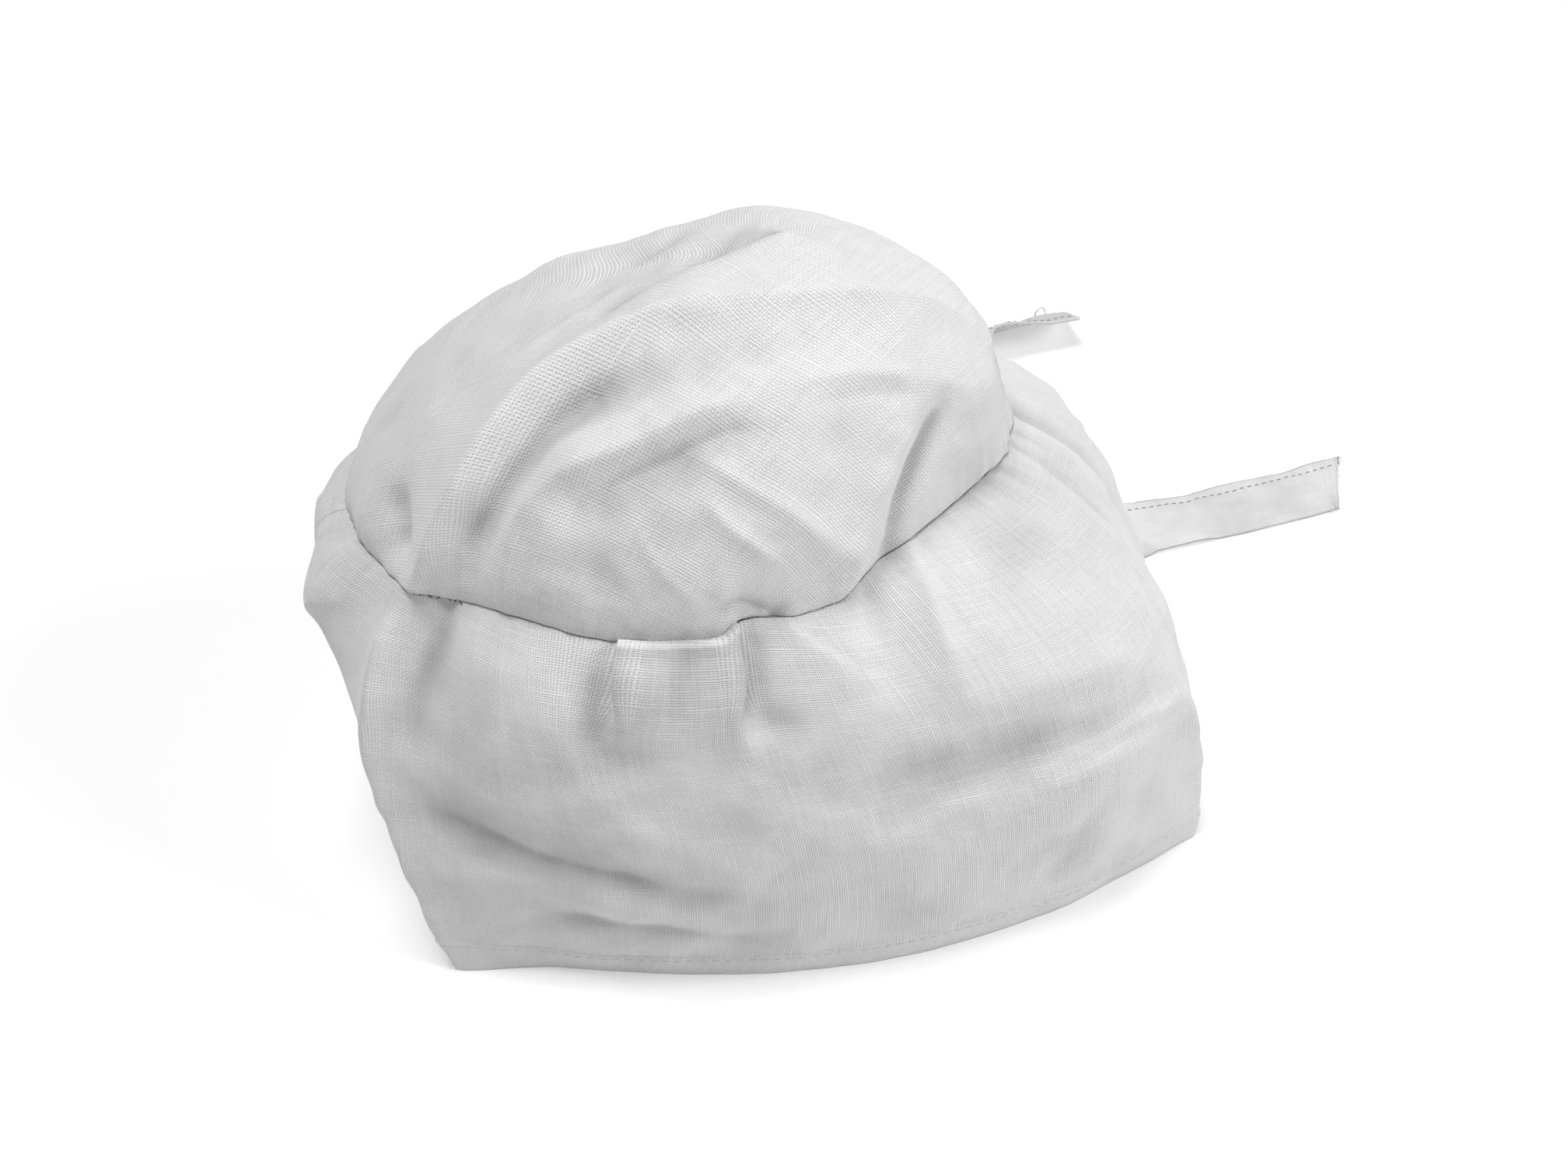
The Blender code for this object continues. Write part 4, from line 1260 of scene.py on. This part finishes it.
    def stitches(self, points: np.ndarray, thick: np.ndarray) -> list[tuple[np.ndarray, np.ndarray]]:
        """One short strand for each stitch along the tie's upper edge, on both faces."""
        made = []
        t = np.linspace(-1, 1, self.across)
        target = 1 - 2 * self.stitch_inset / self.width
        front = int(np.argmin(np.abs(t - target)))
        dip = np.array(self.stitch_dips)[:, None] * MM
        for column, side in ((front, 1), (2 * self.across - 2 - front, -1)):
            line = points[:, column] + side * thick * 0.10 * MM
            run = run_along(line)
            for start in np.arange(self.stitch_start, run[-1] - self.stitch_stop, self.stitch_pitch):
                s = start + np.linspace(0, self.stitch_share * self.stitch_pitch, len(dip))
                path, face = read_along(line, run, s), read_along(thick, run, s)
                made.append(strand(path + side * face * dip, self.stitch_radius))
        return made

    def end_threads(self, points: np.ndarray, thick: np.ndarray) -> list[tuple[np.ndarray, np.ndarray]]:
        """Loose threads of the raw end, each a short bent strand."""
        random = np.random.default_rng(5 if self.near else 6)
        gathered = 0.12 if self.near else 1.0
        top = points[:, :self.across]
        last, ahead = top[-1], unit(top[-1] - top[-6])
        made = []
        for _ in range(self.end_count):
            k = (self.across - 1.001) * random.uniform() ** gathered
            i, f = int(k), k - int(k)
            start = last[i] * (1 - f) + last[i + 1] * f - thick[-1] * random.uniform(0.1, 1.2) * MM
            way = unit(ahead[i] + random.normal(scale=0.35, size=3) * (1, 1, 0.4))
            bend = random.normal(scale=0.4, size=3) * (1, 1, 0.5)
            s = np.linspace(-0.3, 1, 5)[:, None] * random.uniform(0.5, 1.6) * MM
            path = start + way * s + bend * s * np.abs(s) / MM * 0.5
            path[:, 2] = np.maximum(path[:, 2], 0.12 * MM)
            made.append(strand(path, self.end_radius, 4))
        return made

    def build(self) -> bpy.types.Object:
        points, thick, grain = self.surface()
        stations, section = points.shape[:2]
        quads = grid_faces(stations, section, True)
        vertices = points.reshape(-1, 3)
        caps = []
        half = self.across
        for row in (0, stations - 1):
            base = row * section
            i = np.arange(half - 1)
            lower = (section - i) % section
            lower_next = (section - i - 1) % section
            lower_next[-1] = half - 1
            face = np.stack([base + i, base + lower, base + lower_next, base + i + 1], -1)
            caps.append(face if row == 0 else face[:, ::-1])
        cap_quads = np.concatenate(caps)
        keep = [len(set(q)) == 4 for q in cap_quads.tolist()]
        corner = cap_quads[~np.array(keep)]
        triangles = np.array([list(dict.fromkeys(q)) for q in corner.tolist()])
        quads = np.concatenate([quads, cap_quads[np.array(keep)]])
        piece = make_piece(f"{self.name}_strip", vertices, quads, self.finish.tie, grain.reshape(-1, 2),
                           triangles, {"relief": np.zeros(len(vertices))})
        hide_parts(self.name)
        # Its stitches take the dark grey thread, painted shade for their needle holes
        sewing = make_piece(f"{self.name}_stitches", *join_strands(self.stitches(points, thick)),
                            self.finish.tie_thread)
        frayed = make_piece(f"{self.name}_end_threads", *join_strands(self.end_threads(points, thick)),
                            self.finish.dark_thread if self.near else self.finish.thread)
        if not self.near:
            self.thread_loop(points)
        length = float(run_along(self.frames()[0])[-1])
        return piece

    def thread_loop(self, points: np.ndarray) -> bpy.types.Object:
        """The small loop of thread that stands at the far tie's end: most of a circle."""
        root = points[-9, 2]
        turn = np.linspace(-0.5, 1.5, 24) * math.pi
        radius = self.loop_radius
        path = root + np.stack([radius * np.cos(turn), 0.3 * radius * np.sin(2 * turn),
                                radius * 1.15 * (1 + np.sin(turn))], -1)
        piece = make_piece("tie_right_thread_loop", *strand(path, self.loop_thread), self.finish.thread)
        return piece


@dataclass
class Sewing:
    """Stitches on the cap itself: the hem's row and the dark gathering stitches at the front."""

    shape: CapShape
    finish: Wardrobe
    band: Band
    hem_pitch: float = 3.2 * MM
    hem_share: float = 0.7
    hem_below: float = 0.012
    hem_radius: float = 0.14 * MM
    gather_span: tuple[float, float, int] = (33.5, 43.0, 9)
    gather_lean: float = 0.35
    gather_level: float = 0.990
    gather_radius: float = 0.16 * MM

    def on_band(self, azimuth: np.ndarray, level: np.ndarray, above: float) -> np.ndarray:
        """Points this far above the band's finished outer face."""
        plain = self.shape.plain(azimuth, level)
        relief = self.band.relief(azimuth, level, plain)
        return plain + self.shape.outward(azimuth, level) * (relief + above)[..., None]

    def hem(self) -> bpy.types.Object:
        """A row of small stitches just under the hem's upper edge."""
        level = self.band.hem_level - self.hem_below
        azimuth = np.linspace(0, 360, 2401)
        line = self.on_band(azimuth, np.full_like(azimuth, level), self.band.hem_step + 0.02 * MM)
        run = run_along(line)
        made = []
        for start in np.arange(0, run[-1] - self.hem_pitch, self.hem_pitch):
            s = start + np.linspace(0, self.hem_share * self.hem_pitch, 4)
            made.append(strand(read_along(line, run, s), self.hem_radius, 4))
        piece = make_piece("hem_stitches", *join_strands(made), self.finish.thread)
        return piece

    def gather(self) -> bpy.types.Object:
        """Dark slanting stitches in the seam over the pinched front gather."""
        made = []
        for k, azimuth in enumerate(np.linspace(*self.gather_span)):
            ends = np.array([azimuth - self.gather_lean, azimuth + self.gather_lean])
            levels = (self.gather_level, 1.0) if k % 2 else (1.0, self.gather_level)
            s = np.linspace(0, 1, 4)
            path = self.on_band(ends[0] + (ends[1] - ends[0]) * s, levels[0] + (levels[1] - levels[0]) * s,
                                0.05 * MM)
            made.append(strand(path, self.gather_radius))
        piece = make_piece("gather_stitches", *join_strands(made), self.finish.dark_thread)
        return piece


@dataclass
class Studio:
    """Pale floor, soft light and the camera at the photo's angle."""

    azimuth: float = -12.0
    elevation: float = 42.0
    distance: float = 0.52
    lens: float = 45.0
    target: tuple[float, float, float] = (-11 * MM, -8 * MM, 66 * MM)
    lamp_aim: tuple[float, float, float] = (0, 0, 0.07)
    floor_half: float = 4.0
    floor_grey: float = 0.70
    floor_glow: float = 0.32
    surroundings: float = 0.20

    def floor(self) -> None:
        """A plain pale plane under the cap, with a faint glow that whitens its soft shadows."""
        material, _, shader = new_material("pale_floor")
        feed(shader, {"Base Color": (*grey(self.floor_grey), 1), "Emission Color": (1, 1, 1, 1),
                      "Emission Strength": self.floor_glow, "Roughness": 0.9, "Specular IOR Level": 0.1})
        mesh = bpy.data.meshes.new("floor")
        half = self.floor_half
        corners = [(-half, -half, 0), (half, -half, 0), (half, half, 0), (-half, half, 0)]
        mesh.from_pydata(corners, [], [(0, 1, 2, 3)])
        mesh.materials.append(material)
        floor = add_object("floor", mesh)

    def light(self, name: str, place: tuple[float, float, float], size: float, power: float) -> None:
        """Add a square soft light that faces the cap."""
        data = bpy.data.lights.new(name, "AREA")
        data.energy = power
        data.size = size
        lamp = add_object(name, data)
        lamp.location = place
        lamp.rotation_euler = direction_to_euler(np.array(self.lamp_aim) - np.array(place))

    def build(self) -> None:
        """Make the floor, the lights, the surroundings and the camera."""
        self.floor()
        self.light("key", (-0.40, 0.20, 2.1), 0.75, 33.0)
        self.light("fill", (1.7, -0.7, 1.3), 0.9, 28.0)
        world = bpy.data.worlds.new("surroundings")
        world.use_nodes = True
        feed(world.node_tree.nodes["Background"], {"Color": (1, 1, 1, 1), "Strength": self.surroundings})
        scene = bpy.context.scene
        scene.world = world
        scene.view_settings.view_transform = "Standard"
        a, e = math.radians(self.azimuth), math.radians(self.elevation)
        back = np.array([math.sin(a) * math.cos(e), -math.cos(a) * math.cos(e), math.sin(e)])
        data = bpy.data.cameras.new("camera")
        data.lens = self.lens
        camera = add_object("camera", data)
        camera.location = np.array(self.target) + self.distance * back
        camera.rotation_euler = direction_to_euler(-back)
        data.clip_start, data.clip_end = 0.01, 20
        scene.camera = camera


def direction_to_euler(aim: np.ndarray) -> tuple[float, float, float]:
    """Turn that points a lamp's or camera's -Z along a direction, with +Y as far up as it goes.

    Args:
        aim: the direction to look along.

    Returns:
        Euler angles in XYZ order.
    """
    x, y, z = unit(np.asarray(aim, float))
    return (math.acos(-z), 0.0, math.atan2(-x, y))


def main() -> None:
    """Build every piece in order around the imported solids."""
    logging.basicConfig(level=logging.INFO, format="%(name)s: %(message)s")
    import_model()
    finish = Wardrobe.make()
    shape = CapShape()
    band = Band(shape, finish)
    band_piece = band.build()
    LOG.info("band_cloth: %d faces", len(band_piece.data.polygons))
    crown_piece = Crown(shape, finish).build()
    LOG.info("crown_cloth: %d faces", len(crown_piece.data.polygons))
    sewing = Sewing(shape, finish, band)
    hem, gather = sewing.hem(), sewing.gather()
    for name in COURSES:
        tie = Tie(name, shape, finish).build()
        LOG.info("%s: %d faces", tie.name, len(tie.data.polygons))
    Studio().build()


if __name__ == "__main__":
    main()
